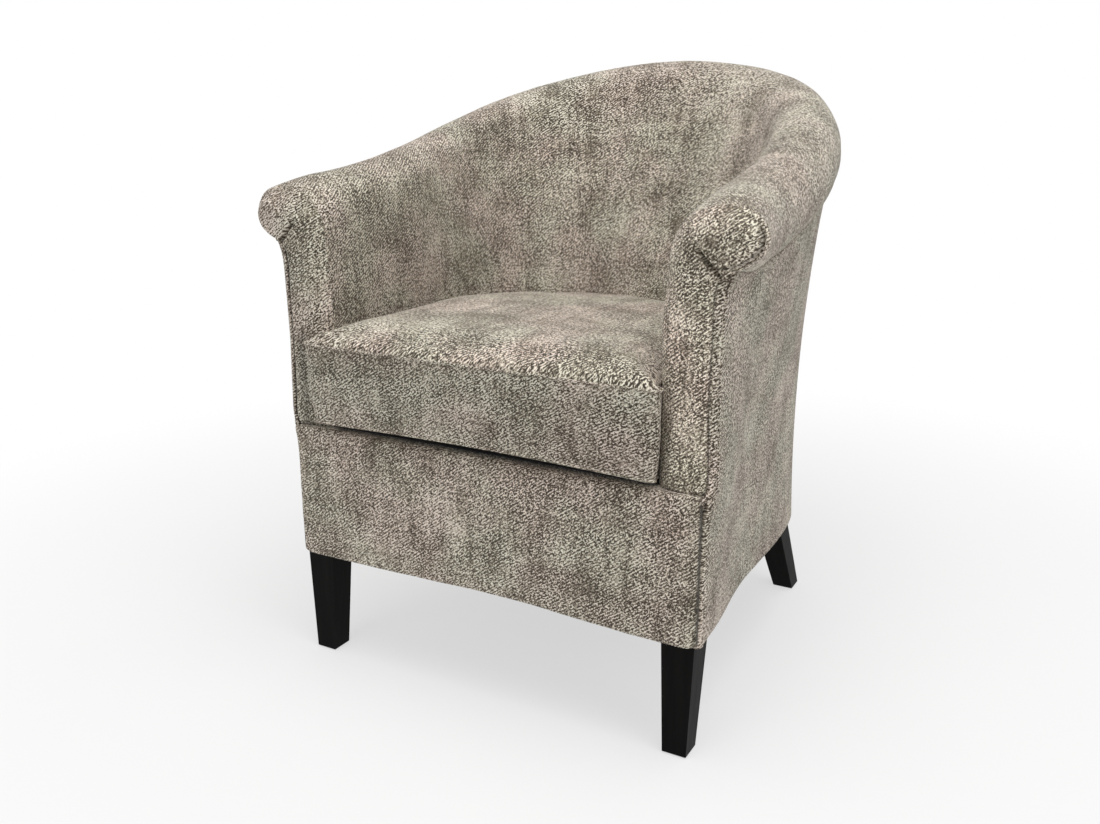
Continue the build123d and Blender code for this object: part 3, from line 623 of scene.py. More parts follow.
def outside_form(column, row):
    """From the right arm's front corner round the back to the left one; rows go down and turn under."""
    half = np.minimum(column, OUTSIDE_COLUMNS - column)
    side = np.where(column > OUTSIDE_COLUMNS / 2, -1.0, 1.0)
    turn, arm, rise, _ = along_tub(np.clip((half - WRAP_COLUMNS) / BACK_COLUMNS, 0, 0.5))
    drop, hem = unit(row / DROP_ROWS), unit((row - DROP_ROWS) / HEM_ROWS)
    reach, height = outside_section(turn, arm, rise, drop)
    along = arm * ARM_LENGTH + OUTSIDE_SPAN * turn
    reach = reach + creases(whole_run(along, side, OUTSIDE_SPAN), drop) * unit(along / 0.03)
    reach = reach - 0.0012 * bell(along, 0.05) * unit(1 - (height - FLOOR_EDGE) / 0.022) ** 2
    height = height - 0.003 * bell(along, 0.012) * drop**8
    height = height - 0.0022 * np.sin(unit(hem * 2) * pi / 2)
    wrapped = unit(1 - half / WRAP_COLUMNS) * WRAP_TURN
    across, deep = wrap_at(height) / (1 - cos(WRAP_TURN)), wrap_depth(height, side)
    distance = (WRAP_TURN - wrapped) * (across + deep) / 2 + along
    fold = folded_edge(distance) * (distance < 0.02)
    beside_border = smooth_step((ARM_FLOOR - 0.003 - height) / 0.008)
    fold += (border_lip((LIP_TURN - wrapped) * (across + deep) / 2 + along) - fold) * beside_border
    reach = reach - across * (1 - np.cos(wrapped)) + (fold - HEM * hem) * np.cos(wrapped)
    points = place(turn, arm, side, reach, height)
    points[:, 1] -= deep * np.sin(wrapped) + (fold - HEM * hem) * np.sin(wrapped)
    run = whole_run(along - wrapped * (across + deep) / 2, side, OUTSIDE_SPAN)
    return points, np.stack([run + OUTSIDE_CLOTH, height - HEM * hem], axis=1)


def seam_painted_shade(points):
    """Painted shade: a thin dark line along the seam where the folded front edge is drawn in."""
    x, y, z = points.T
    line = bell(np.abs(x) - (padded_side(z) - wrap_at(z)), 0.0013) * (y < ARM_SEAM)
    return 1 - 0.62 * line * unit((z - ARM_FLOOR) / 0.01)


def inside_tub(points):
    """The middle of the tub at each point's height."""
    return np.stack([points[:, 0] * 0, np.clip(points[:, 1], ARM_SEAM, AXIS_Y), points[:, 2]], axis=1)


outside = lay_grid("tub_outside", OUTSIDE_COLUMNS, OUTSIDE_ROWS, outside_form, seam_painted_shade, OUTSIDE_YARN)
bpy.ops.object.shade_smooth()
face_side(outside, inside_tub)
thicken(outside, COVER * 0.9)

# %% [markdown]
# The front border is a padded rail cover: it wraps both front corners and rolls over the top edge under
# the cushion. Laid as a grid, its rows go up the front and over the edge, and its columns go round the
# corners.

# %% Front border
BORDER_FRONT, BORDER_TOP, BORDER_EDGE, BORDER_CORNER, BORDER_TAIL = -0.3275, 0.326, 0.009, 0.004, 0.012
BORDER_ENDS, BORDER_BACK, BORDER_CLOTH = (0.2790, 0.2845), ARM_SEAM - 0.0003, 9.0
BORDER_COLUMNS, BORDER_ROWS = 280, 52
BORDER_HEM, BORDER_FULL, BORDER_DEPTH = 0.008, 0.0030, 0.0208


def border_form(column, row):
    """Rail cover with rounded ends: its rows are the hem, the wall, the rolled edge and the top."""
    share, up = column / BORDER_COLUMNS, row / BORDER_ROWS
    hem, wall = unit(1 - up / 0.06), unit((up - 0.06) / 0.66)
    over, back = unit((up - 0.72) / 0.18) * pi / 2, unit((up - 0.90) / 0.10)
    side = np.where(share < 0.5, -1.0, 1.0)
    straight = np.where(share < 0.5, *BORDER_ENDS) - BORDER_CORNER
    arc = BORDER_CORNER * pi / 2
    half = straight + arc + BORDER_TAIL
    along = (share - 0.5) * 2 * half
    off = np.abs(along)
    edge = BORDER_EDGE * (1 - 0.55 * unit((off - 0.225) / 0.03))
    inset = BORDER_HEM * hem + edge * (1 - np.cos(over))
    beyond, tail = np.clip(off - straight, 0, arc), np.clip(off - straight - arc, 0, None)
    angle = beyond / BORDER_CORNER
    full = BORDER_FULL * np.sin(pi * wall) * unit(1 - beyond / arc) * (1 - hem)
    x = np.where(off < straight, along, side * (straight + (BORDER_CORNER - 0.4 * inset) * np.sin(angle)))
    y = BORDER_FRONT + BORDER_CORNER * (1 - np.cos(angle)) + tail + inset - full
    y = np.minimum(y + (BORDER_DEPTH - edge) * back, BORDER_BACK)
    wave = 0.0030 * np.cos(along / half * pi) + 0.0010 * np.sin(along * 21 + 0.6)
    z = FLOOR_EDGE + wave * (1 - wall) * (1 - back)
    z = z + wall * (BORDER_TOP - edge - FLOOR_EDGE) + edge * np.sin(over) - 0.0018 * np.sin(hem * pi / 2)
    z = z + 0.005 * unit((np.abs(x) - straight + 0.011) / 0.016) ** 2 * (1 - wall) ** 2 * (1 - back)
    x = x + side * 0.0015 * (1 - wall) * np.sin(angle) ** 2
    length = wall * (BORDER_TOP - edge - FLOOR_EDGE) + edge * over + 0.012 * back - BORDER_HEM * hem
    return np.stack([x, y, z], axis=1), np.stack([along + BORDER_CLOTH, length], axis=1)


def border_painted_shade(points):
    """Painted shade: a dark line where the border's end goes in beside the outside cover."""
    x, y, _ = points.T
    inside_end = np.where(x < 0, *BORDER_ENDS) - np.abs(x)
    deep = unit((y - BORDER_FRONT - np.where(x < 0, 0.0105, 0.0)) / 0.003)
    return 0.985 - 0.78 * unit(1.15 - inside_end / 0.0009) * deep


def behind_border(points):
    """A point in the rail behind each point of its cover."""
    x, y, z = points.T
    return np.stack([x * 0.9, y * 0 + ARM_SEAM, np.minimum(z, 0.30)], axis=1)


border = lay_grid("front_border", BORDER_COLUMNS, BORDER_ROWS, border_form, border_painted_shade)
border = merge_pieces([border], "front_border", gap=0.0)
face_side(border, behind_border)
soft_swell(border, "wadding", 0.06, 0.0016)
thicken(border, COVER)

# %% [markdown]
# The seat cushion is a boxed cover over a foam core: a top and a bottom panel, sewn to a border with a
# plain seam. Air pressure in a cloth simulation is a good stand-in for foam: the panels swell between
# the seams, which are pinned, and the cloth near them pulls into small folds. The three panels are
# grids merged along their seams.

# %% Plan of the cushion
CUSHION_HALF, CUSHION_FRONT, CUSHION_CORNER, CUSHION_DRAW = 0.2262, -0.3475, 0.013, 0.0025
CUSHION_FLOOR, CUSHION_SEAM = 0.3312, 0.4415
SIDE_STEPS, BOX_ROWS, PANEL_CLOTH, BOX_CLOTH = 60, 14, 11.0, 13.0
SIDE_LENGTH = AXIS_Y - CUSHION_FRONT - CUSHION_CORNER
FRONT_POINTS, CORNER_POINTS, SIDE_POINTS, BACK_POINTS = 400, 60, 200, 800


def cushion_plan():
    """Outline in plan: front, corner, right side, round back, left side and the other corner."""
    half, corner = CUSHION_HALF, CUSHION_CORNER
    turn = np.linspace(0, pi / 2, CORNER_POINTS, endpoint=False)
    way = np.linspace(0, 1, SIDE_POINTS, endpoint=False)
    round_back = np.linspace(0, pi, BACK_POINTS, endpoint=False)
    front = np.linspace(-half + corner, half - corner, FRONT_POINTS, endpoint=False)
    drawn = half - CUSHION_DRAW * np.sin(pi * way)
    runs = [
        (front, np.full(FRONT_POINTS, CUSHION_FRONT)),
        (half - corner * (1 - np.sin(turn)), CUSHION_FRONT + corner * (1 - np.cos(turn))),
        (drawn, CUSHION_FRONT + corner + SIDE_LENGTH * way),
        (half * np.cos(round_back), AXIS_Y + half * np.sin(round_back)),
        (-drawn, AXIS_Y - SIDE_LENGTH * way),
        (-half + corner * (1 - np.cos(turn)), CUSHION_FRONT + corner * (1 - np.sin(turn))),
    ]
    return np.concatenate([np.column_stack(run) for run in runs])


plan_ring = cushion_plan()
plan_ring = np.vstack([plan_ring, plan_ring[:1]])
plan_run = np.concatenate([[0], np.cumsum(np.hypot(*np.diff(plan_ring, axis=0).T))])
PLAN_LENGTH = plan_run[-1]
half_corner = CUSHION_CORNER * pi / 4
corner_middle = FRONT_POINTS + CORNER_POINTS // 2
back_start = FRONT_POINTS + CORNER_POINTS + SIDE_POINTS
back_quarters = [back_start + BACK_POINTS // 4, back_start + 3 * BACK_POINTS // 4]
QUARTERS = np.array([-half_corner, *plan_run[[corner_middle, *back_quarters]], PLAN_LENGTH - half_corner])
print("cushion outline", round(PLAN_LENGTH, 3), "m, quartered at", QUARTERS.round(3))

# %% Faces of the cushion


def plan_at(run):
    """Point of the outline at a run along it, in metres from the start of the front."""
    run = np.mod(run, PLAN_LENGTH)
    return np.stack([np.interp(run, plan_run, plan_ring[:, axis]) for axis in (0, 1)], axis=1)


def rim_run(step):
    """Run along the outline of a step round the four sides of the panel grid."""
    return np.interp(step, np.arange(5) * SIDE_STEPS, QUARTERS)


def upper_face(points):
    return np.column_stack([points, np.full(len(points), CUSHION_SEAM)])


def lower_face(points):
    """Underside of the cushion: its front edge is drawn back and stands off the rail."""
    x, y = points.T
    near = bell(y - CUSHION_FRONT, 0.028)
    lift = near * (0.0070 + 0.0045 * unit(1 - (x / CUSHION_HALF) ** 2))
    return np.column_stack([x, y + 0.009 * near, CUSHION_FLOOR + lift])


def panel_form(face, crown):
    """Top or bottom panel: a square grid drawn out to the cushion's outline."""
    def form(column, row):
        a, b = 2 * column / SIDE_STEPS - 1, 2 * row / SIDE_STEPS - 1
        reach = np.maximum(np.abs(a), np.abs(b))
        safe = np.where(reach > 0, reach, 1)
        a, b = a / safe, b / safe
        step = np.select(
            [b <= -1 + 1e-9, a >= 1 - 1e-9, b >= 1 - 1e-9],
            [(a + 1) / 2, 1 + (b + 1) / 2, 2 + (1 - a) / 2],
            3 + (1 - b) / 2,
        ) * SIDE_STEPS
        rim = plan_at(rim_run(step))
        heart = np.array([0.0, AXIS_Y - 0.01])
        spread = 1 - (1 - reach) ** 1.12
        flat = heart + (rim - heart) * spread[:, None]
        points = face(flat)
        lower_behind = 1 - 0.3 * smooth_step((flat[:, 1] - AXIS_Y) / 0.2)
        points[:, 2] += crown * (1 - spread**16) ** 0.5 * lower_behind
        return points, flat + np.array([PANEL_CLOTH, 0.0])
    return form


def side_form(column, row):
    """Border of the cushion, round its outline."""
    run = rim_run(np.mod(column, 4 * SIDE_STEPS))
    up = row / BOX_ROWS
    low, high = lower_face(plan_at(run)), upper_face(plan_at(run))
    along = np.where(column >= 4 * SIDE_STEPS, PLAN_LENGTH - half_corner, run)
    cloth = np.stack([along + BOX_CLOTH, up * (CUSHION_SEAM - CUSHION_FLOOR)], axis=1)
    return low + (high - low) * up[:, None], cloth


print("cushion", 2 * CUSHION_HALF, "m wide, border", round(CUSHION_SEAM - CUSHION_FLOOR, 4), "m high")

# %% Panels of the cushion
# The top panel's colour is painted a little lighter than the side's: painted light from above.
CROWN, TOP_PAINTED_LIGHT, BOX_YARN = 0.022, 1.035, 1.06


def pin(piece, columns, test):
    """Holds the grid points whose column and row pass a test."""
    count = len(piece.data.vertices)
    held = [i for i in range(count) if test(i % (columns + 1), i // (columns + 1))]
    piece.vertex_groups.new(name="pins").add(held, 1.0, "REPLACE")


def side_painted_light(points):
    """Painted light: the cushion's side is darker than its top, with a painted highlight at its front
    left corner.
    """
    return 0.885 + 0.14 * bell(points[:, 0] + CUSHION_HALF, 0.012) * (points[:, 1] < ARM_FRONT)


cushion_top = lay_grid("cushion_top", SIDE_STEPS, SIDE_STEPS, panel_form(upper_face, CROWN), TOP_PAINTED_LIGHT)
cushion_bottom = lay_grid("cushion_bottom", SIDE_STEPS, SIDE_STEPS, panel_form(lower_face, 0.0))
cushion_side = lay_grid("cushion_side", 4 * SIDE_STEPS, BOX_ROWS, side_form, side_painted_light, BOX_YARN)
pin(cushion_top, SIDE_STEPS, lambda column, row: column in (0, SIDE_STEPS) or row in (0, SIDE_STEPS))
pin(cushion_bottom, SIDE_STEPS, lambda column, row: True)
pin(cushion_side, 4 * SIDE_STEPS, lambda column, row: row in (0, BOX_ROWS))
cushion = merge_pieces([cushion_top, cushion_bottom, cushion_side], "seat_cushion", gap=0.0002)
print("cushion cover", len(cushion.data.vertices), "points")

# %% Room for the cushion
SPREADS, MOST = (0.0205, 0.0162), 0.013
ZIP_HEIGHT, ZIP_DRAW, ZIP_HALF = 0.3869, 0.0046, 0.019
FRONT_MOST = 0.0045


def fitted(points):
    """Cushion points kept inside the tub, spread ahead of the arms and drawn in along the zip."""
    points = points.copy()
    x, y, z = points.T
    behind = np.maximum(y - AXIS_Y, 0)
    radius = np.hypot(x, behind)
    ahead = smooth_step((ARM_FRONT - 0.005 - y) / 0.012)
    at_zip = smooth_step((ZIP_HALF - np.abs(z - ZIP_HEIGHT)) / 0.010)
    zipped = smooth_step((behind - 0.015) / 0.015) * at_zip
    room = SEAT_HALF - COVER + 0.03 * ahead - ZIP_DRAW * zipped
    pull = np.minimum(1, room / np.maximum(radius, 1e-6))
    y += behind * (pull - 1)
    share = unit((z - 0.328) / 0.136)
    swell = np.where(x < 0, *SPREADS) * (1 - np.abs(2 * share - 1) ** 8) * ahead
    outer = unit(np.abs(x) / CUSHION_HALF) ** 3
    x[:] = x * pull + np.sign(x) * swell * outer
    beyond = np.maximum(CUSHION_FRONT - y, 0)
    y += beyond - FRONT_MOST * np.tanh(beyond / FRONT_MOST)
    return points


print("the front spreads by", SPREADS, "m at the left and right")

# %% Filling the cushion
FILLING = {
    "use_pressure": True, "uniform_pressure_force": 4.0, "quality": 6, "mass": 0.3,
    "tension_stiffness": 18, "compression_stiffness": 18, "shear_stiffness": 8,
    "bending_stiffness": 1.2, "vertex_group_mass": "pins",
}
FILL_STEPS, CACHE_STEPS = 20, 24

before = points_of(cushion)
filling = cushion.modifiers.new("Filling", "CLOTH")
for key, value in FILLING.items():
    setattr(filling.settings, key, value)
filling.settings.effector_weights.gravity = 0.0
filling.point_cache.frame_end = CACHE_STEPS
for step in range(1, FILL_STEPS + 1):
    bpy.context.scene.frame_set(step)
apply_modifier(cushion, filling)
bpy.context.scene.frame_set(1)
move = points_of(cushion) - before
size = np.linalg.norm(move, axis=1)
move *= (MOST * np.tanh(size / MOST) / np.maximum(size, 1e-9))[:, None]
filled = fitted(before + move)
move_points(cushion, filled)
ahead_of_arms = filled[filled[:, 1] < ARM_FRONT - 0.012]
print("filling moved the cloth", size.max().round(4), "m, crown", filled[:, 2].max().round(4),
      "front from", ahead_of_arms.min(0).round(4), "to", ahead_of_arms.max(0).round(4))
finish_with(cushion, "SUBSURF", levels=1, render_levels=1)

# %% [markdown]
# A plain seam shows as a thin ridge where the two seam allowances lie behind the cloth. It is modelled
# once as a thin tube along the top seam and once along the bottom one, swept round the same outline.

# %% Seam ridges
RIDGE, RIDGE_OUT, RIDGE_STEPS, RIDGE_SIDES = 0.0019, 0.0013, 480, 8
RIDGE_CLOTH = 15.0
RIDGE_LIFTS = ((upper_face, 0.0004), (lower_face, 0.0014))


def ridge_form(face, lift):
    """Tube round the edge of a face, flattened where it would stand out too far."""
    def form(column, row):
        run = column / RIDGE_STEPS * PLAN_LENGTH
        plan = plan_at(run)
        points = fitted(face(plan))
        heart = np.stack([plan[:, 0] * 0, np.clip(plan[:, 1], CUSHION_FRONT + 0.05, AXIS_Y)], axis=1)
        outward = plan - heart
        outward /= np.linalg.norm(outward, axis=1)[:, None]
        angle = row / RIDGE_SIDES * 2 * pi
        reach = np.minimum(RIDGE * np.cos(angle) - 0.0002, RIDGE_OUT)
        points[:, :2] += outward * reach[:, None]
        points[:, 2] += lift + RIDGE * np.sin(angle)
        return points, np.stack([run + RIDGE_CLOTH, angle * RIDGE], axis=1)
    return form


ridges = [lay_grid("ridge", RIDGE_STEPS, RIDGE_SIDES, ridge_form(*seam)) for seam in RIDGE_LIFTS]
seams = merge_pieces(ridges, "cushion_seams", gap=0.00005)
print("seam ridges", len(seams.data.polygons), "faces")

# %% [markdown]
# Under the cushion lies the platform: plain black cloth over felt, hidden until the cushion is lifted
# out. A second black cloth closes the chair from below. Both are stretched sheets, laid as grids with a
# shallow sag of 1 to 4 millimetres, which a simulation wouldn't show any better.

# %% Platform cloth and dust cover
SHEET_STEPS, SHEET_THICK, SHEET_CLOTH = 60, 0.0008, 17
PLATFORM_HALF, PLATFORM_HEIGHT, PLATFORM_SAG = 0.2262, 0.3302, 0.0012
DUST_INSET, DUST_FRONT, DUST_HEIGHT, DUST_SAG = 0.006, -0.3165, 0.1508, 0.004


def sheet_form(half_at, front, back, sag, height):
    """A stretched sheet whose half width at each depth is given, with a shallow sag in its middle."""
    def form(column, row):
        a, b = column / SHEET_STEPS * 2 - 1, np.sin((row / SHEET_STEPS - 0.5) * pi)
        y = np.where(b < 0, AXIS_Y + (AXIS_Y - front) * b, AXIS_Y + (back - AXIS_Y) * b)
        x = a * half_at(y)
        z = height - sag * (1 - a**2) * (1 - b**2)
        return np.column_stack([x, y, z]), np.column_stack([x + SHEET_CLOTH, y])
    return form


def seat_half(y):
    """Half width of the seat's opening: straight beside the arms, then round."""
    behind = np.maximum(y - AXIS_Y, 0) / PLATFORM_HALF
    return PLATFORM_HALF * np.sqrt(unit(1 - behind**2))


def base_half(y):
    """Half width of the bottom line, a little inside the outside cover."""
    front, side, back = BASE
    beside = settled(unit((y - ARM_SEAM) / ARM_LENGTH), front, side) - DUST_INSET
    behind = unit((y - AXIS_Y) / (back - DUST_INSET))
    oval = (side - DUST_INSET) * (1 - behind**BASE_SQUARE) ** (1 / BASE_SQUARE)
    return np.where(y < AXIS_Y, beside, oval)


platform_form = sheet_form(seat_half, ARM_FRONT, AXIS_Y + PLATFORM_HALF, PLATFORM_SAG, PLATFORM_HEIGHT)
dust_form = sheet_form(base_half, DUST_FRONT, AXIS_Y + BASE[2] - DUST_INSET, DUST_SAG, DUST_HEIGHT)
platform = merge_pieces([lay_grid("platform", SHEET_STEPS, SHEET_STEPS, platform_form)], "platform_sheet")
dust = merge_pieces([lay_grid("dust", SHEET_STEPS, SHEET_STEPS, dust_form)], "dust_sheet")
for sheet, up in ((platform, 1), (dust, -1)):
    face_side(sheet, lambda points, up=up: points - np.array([0, 0, 0.1 * up]))
    thicken(sheet, SHEET_THICK)

# %% [markdown]
# Shader maths reads best as sums. One small class wraps a node's output and adds a Math node for each
# operator, and one method makes every other node: it sets the node's options first, then the values or
# links of its sockets. The same method serves a finish and, later, the studio's world.

# %% Shader helper


class Wire:
    """One output in a tree of nodes, which can be added, subtracted and multiplied."""

    def __init__(self, nodes, socket):
        self.nodes, self.socket = nodes, socket

    def math(self, operation, *others):
        return self.nodes.node("ShaderNodeMath", {"operation": operation}, [self, *others])

    def __add__(self, other):
        return self.math("ADD", other)

    def __sub__(self, other):
        return self.math("SUBTRACT", other)

    def __rsub__(self, other):
        return self.nodes.node("ShaderNodeMath", {"operation": "SUBTRACT"}, [other, self])

    def __mul__(self, other):
        return self.math("MULTIPLY", other)

    __radd__, __rmul__ = __add__, __mul__


class Nodes:
    """A tree whose nodes are made one call at a time."""

    def __init__(self, tree):
        self.tree = tree

    def node(self, kind, settings=None, values=None, out=0):
        made = self.tree.nodes.new(kind)
        for key, value in (settings or {}).items():
            if key == "stops":
                ramp = made.color_ramp
                while len(ramp.elements) < len(value):
                    ramp.elements.new(0.5)
                for element, (where, colour) in zip(ramp.elements, value):
                    element.position, element.color = where, (*colour, 1)
            else:
                setattr(made, key, value)
        pairs = enumerate(values) if isinstance(values, list) else (values or {}).items()
        for key, value in pairs:
            self.feed(made.inputs[key], value)
        return Wire(self, made.outputs[out])

    def feed(self, socket, value):
        if isinstance(value, Wire):
            self.tree.links.new(value.socket, socket)
        else:
            socket.default_value = value


class Finish(Nodes):
    """A material, with the nodes that most finishes use."""

    def __init__(self, name, roughness):
        self.material = bpy.data.materials.new(name)
        self.material.use_nodes = True
        super().__init__(self.material.node_tree)
        self.shader = self.tree.nodes["Principled BSDF"]
        self.put("Roughness", roughness)

    def put(self, socket, value):
        self.feed(self.shader.inputs[socket], value)

    def spot(self):
        return self.node("ShaderNodeTexCoord", out="Object")

    def attribute(self, name, out):
        return self.node("ShaderNodeAttribute", {"attribute_name": name}, out=out)

    def part(self, vector, axis):
        return self.node("ShaderNodeSeparateXYZ", {}, [vector], out=axis)

    def noise(self, vector, scale, detail=2.0, roughness=0.5):
        values = {"Vector": vector, "Scale": scale, "Detail": detail, "Roughness": roughness}
        return self.node("ShaderNodeTexNoise", {}, values)

    def stretch(self, vector, factors):
        return self.node("ShaderNodeVectorMath", {"operation": "MULTIPLY"}, [vector, factors])

    def turned(self, vector, angle):
        values = {"Vector": vector, "Angle": angle}
        return self.node("ShaderNodeVectorRotate", {"rotation_type": "Z_AXIS"}, values)

    def times(self, first, second):
        return self.node("ShaderNodeMix", {"data_type": "RGBA", "blend_type": "MULTIPLY"},
                         {0: 1.0, 6: first, 7: second}, out=2)

    def ramp(self, value, stops):
        return self.node("ShaderNodeValToRGB", {"stops": stops}, [value])

    def bump(self, height, strength, distance):
        values = {"Height": height, "Strength": strength, "Distance": distance}
        self.put("Normal", self.node("ShaderNodeBump", {}, values))


print("ready: Wire, Nodes, Finish")

# %% [markdown]
# The cloth is a chenille twill in taupe and cream. Seen close, slanted ribs of dark and pale yarn break
# into short dashes; from further off, pale specks, upright slubs and soft patches where the pile lies
# another way. Each of these is one noise on the cloth map, stretched along the rib or the warp, and
# their sum picks a yarn colour.

# %% Chenille twill
RIB_ANGLE, RIB_PITCH, MIDDLE_SHADE = radians(36), 0.0034, 0.515
YARN_STOPS = [
    (0.12, (0.046, 0.036, 0.027)),
    (0.38, (0.143, 0.115, 0.088)),
    (0.58, (0.315, 0.269, 0.215)),
    (0.78, (0.600, 0.535, 0.443)),
    (1.00, (0.845, 0.782, 0.685)),
]
BLUSH_STOPS = [(0.40, (0.960, 1.0, 0.965)), (0.60, (1.0, 0.950, 0.955))]


def chenille(name):
    cloth = Finish(name, 0.9)
    where = cloth.node("ShaderNodeUVMap", {"uv_map": "Cloth"})
    ribs = cloth.turned(where, -RIB_ANGLE)
    wander = cloth.noise(where, 90.0) - 0.5
    rib = ((cloth.part(ribs, "Y") + wander * 0.0022) * (2 * pi / RIB_PITCH)).math("SINE") * 0.5 + 0.5
    dash = cloth.noise(cloth.stretch(ribs, (285.0, 480.0, 1.0)), 1.0, 2.0, 0.6)
    fleck = cloth.noise(cloth.stretch(ribs, (520.0, 660.0, 1.0)), 1.0, 1.0, 0.6)
    slub = cloth.noise(cloth.stretch(where, (150.0, 9.0, 1.0)), 1.0, 2.0, 0.6)
    weft = cloth.noise(cloth.stretch(where, (8.0, 120.0, 1.0)), 1.0, 2.0, 0.6)
    grain = cloth.noise(where, 210.0, 1.0)
    patch = cloth.noise(where, 15.0, 4.0, 0.65)
    smudge = cloth.noise(cloth.stretch(where, (48.0, 30.0, 1.0)), 1.0, 2.0, 0.6)
    pile = (cloth.noise(where, 24.0, 3.0, 0.6) - 0.5) * 2.2 + 1.0
    broad = cloth.noise(where, 4.5)
    contrast = pile * cloth.attribute("yarn", "Fac")
    yarn = (dash - 0.5) * 3.0 + (fleck - 0.5) * 2.6 + (grain - 0.5) * 1.0 + (rib - 0.5) * 0.36
    worn = (slub - 0.5) * 0.50 + (weft - 0.5) * 0.25 + (patch - 0.5) * 1.05
    worn = worn + (smudge - 0.5) * 0.50 + (broad - 0.5) * 0.20
    shade = cloth.ramp(yarn * contrast + worn + MIDDLE_SHADE, YARN_STOPS)
    shade = cloth.times(shade, cloth.ramp(cloth.noise(where, 9.0), BLUSH_STOPS))
    # The colour is multiplied by each point's painted light: painted shade in creases and gaps, and
    # lighter or darker faces.
    cloth.put("Base Color", cloth.times(shade, cloth.attribute("nap", "Color")))
    cloth.bump(rib * 0.35 + dash * 0.9 + fleck * 0.5, 0.5, 0.0009)
    cloth.put("Sheen Weight", 0.28)
    cloth.put("Sheen Roughness", 0.55)
    cloth.put("Sheen Tint", (0.86, 0.82, 0.74, 1))
    cloth.put("Specular IOR Level", 0.18)
    return cloth.material


upholstery = chenille("chenille_twill")
print("chenille twill", len(upholstery.node_tree.nodes), "nodes")

# %% [markdown]
# The legs are stained almost black and lacquered. Grain still shows in the way the lacquer lies, so a
# fine stretched noise drives the roughness and a shallow bump, and the colour moves only a little. The
# frame inside is birch plywood, whose veneers show as thin stripes along its edges.

# %% Wood


def grained(name, dark, pale, roughness, scale, gloss):
    wood = Finish(name, roughness)
    where = wood.spot()
    grain = wood.noise(wood.stretch(where, (1.0, 1.0, 0.08)), scale, 5.0, 0.6)
    pores = wood.noise(wood.stretch(where, (1.0, 1.0, 0.03)), scale * 4)
    wood.put("Base Color", wood.ramp(grain, [(0.3, dark), (0.7, pale)]))
    wood.put("Roughness", pores * 0.25 + (roughness - 0.12))
    wood.put("Specular IOR Level", gloss)
    wood.bump(pores, 0.25, 0.0004)
    return wood.material


def plied(name, dark, pale):
    board = Finish(name, 0.7)
    where = board.spot()
    grain = board.noise(board.stretch(where, (1.0, 0.15, 1.0)), 60.0, 5.0, 0.6)
    veneer = (board.part(where, "Z") * 2100.0).math("SINE") * 0.12
    board.put("Base Color", board.ramp(grain + veneer, [(0.25, dark), (0.75, pale)]))
    board.bump(grain, 0.2, 0.0005)
    return board.material


finishes = {
    "leg_wood": grained("black_stain", (0.0018, 0.0016, 0.0015), (0.0060, 0.0052, 0.0048),
                        roughness=0.50, scale=90.0, gloss=0.06),
    "plywood": plied("birch_ply", (0.42, 0.29, 0.17), (0.68, 0.52, 0.34)),
    "cover_fabric": upholstery,
}
print("finishes so far", sorted(finishes))

# %% [markdown]
# Foam, felt, black cloth and moulded plastic differ mostly in how coarse they are, so one recipe of
# fine noise serves all four. Webbing is a basket weave, made of two crossing waves, and zinc plate is a
# brushed metal.

# %% Hidden finishes


def fibrous(name, dark, pale, scale, roughness=0.95, relief=0.0008):
    felt = Finish(name, roughness)
    where = felt.spot()
    fibre, cloud = felt.noise(where, scale, 3.0, 0.65), felt.noise(where, scale / 14)
    felt.put("Base Color", felt.ramp(fibre * 0.7 + cloud * 0.3, [(0.3, dark), (0.7, pale)]))
    felt.bump(fibre, 0.5, relief)
    return felt.material


def woven(name, dark, pale, pitch):
    band = Finish(name, 0.85)
    where = band.spot()
    warp, weft = ((band.part(where, axis) * (2 * pi / pitch)).math("SINE") for axis in "XY")
    basket = warp * weft * 0.5 + 0.5
    fibre = band.noise(where, 900.0)
    band.put("Base Color", band.ramp(basket * 0.6 + fibre * 0.4, [(0.25, dark), (0.75, pale)]))
    band.bump(basket, 0.4, 0.0006)
    return band.material


def metal(name, colour, roughness):
    plate = Finish(name, roughness)
    brushed = plate.noise(plate.stretch(plate.spot(), (1.0, 1.0, 0.1)), 700.0)
    plate.put("Base Color", plate.ramp(brushed, [(0.2, tuple(0.85 * c for c in colour)), (0.8, colour)]))
    plate.put("Metallic", 1.0)
    plate.put("Roughness", brushed * 0.2 + roughness - 0.1)
    return plate.material


finishes.update({
    "foam": fibrous("foam", (0.66, 0.58, 0.38), (0.82, 0.75, 0.55), 420.0),
    "webbing": woven("webbing", (0.20, 0.15, 0.09), (0.46, 0.37, 0.25), 0.004),
    "felt": fibrous("felt", (0.12, 0.115, 0.11), (0.34, 0.33, 0.31), 520.0),
    "black_cloth": fibrous("black_cloth", (0.008, 0.008, 0.009), (0.030, 0.030, 0.032), 900.0,
                           roughness=0.9, relief=0.0004),
    "steel": metal("zinc_plate", (0.62, 0.61, 0.59), 0.36),
    "glide_plastic": fibrous("moulded_plastic", (0.016, 0.016, 0.017), (0.026, 0.026, 0.028), 1600.0,
                             roughness=0.5, relief=0.0001),
})


def give_finish(piece, slot):
    """Gives a piece the finish of a slot."""
    piece.data.materials.clear()
    piece.data.materials.append(finishes[slot])


for entry in frame["record"]["subparts"]:
    give_finish(frame["nodes"][entry["node"]], entry["material_slot"])
print("finishes", sorted(finishes))

# %% [markdown]
# Each dressed piece now gets its finish, says which solids it stands for, and is tied to the body that
# carries it: the covers to the chair, and the cushion to the loose seat, so that it lifts out with its
# core.

# %% Dressing the frame


def dress(piece, body, slot, *nodes):
    give_finish(piece, slot)
    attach(piece, body)
    if nodes:
        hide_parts(*nodes)
    print(piece.name, "rides on", body, "and stands for", nodes)


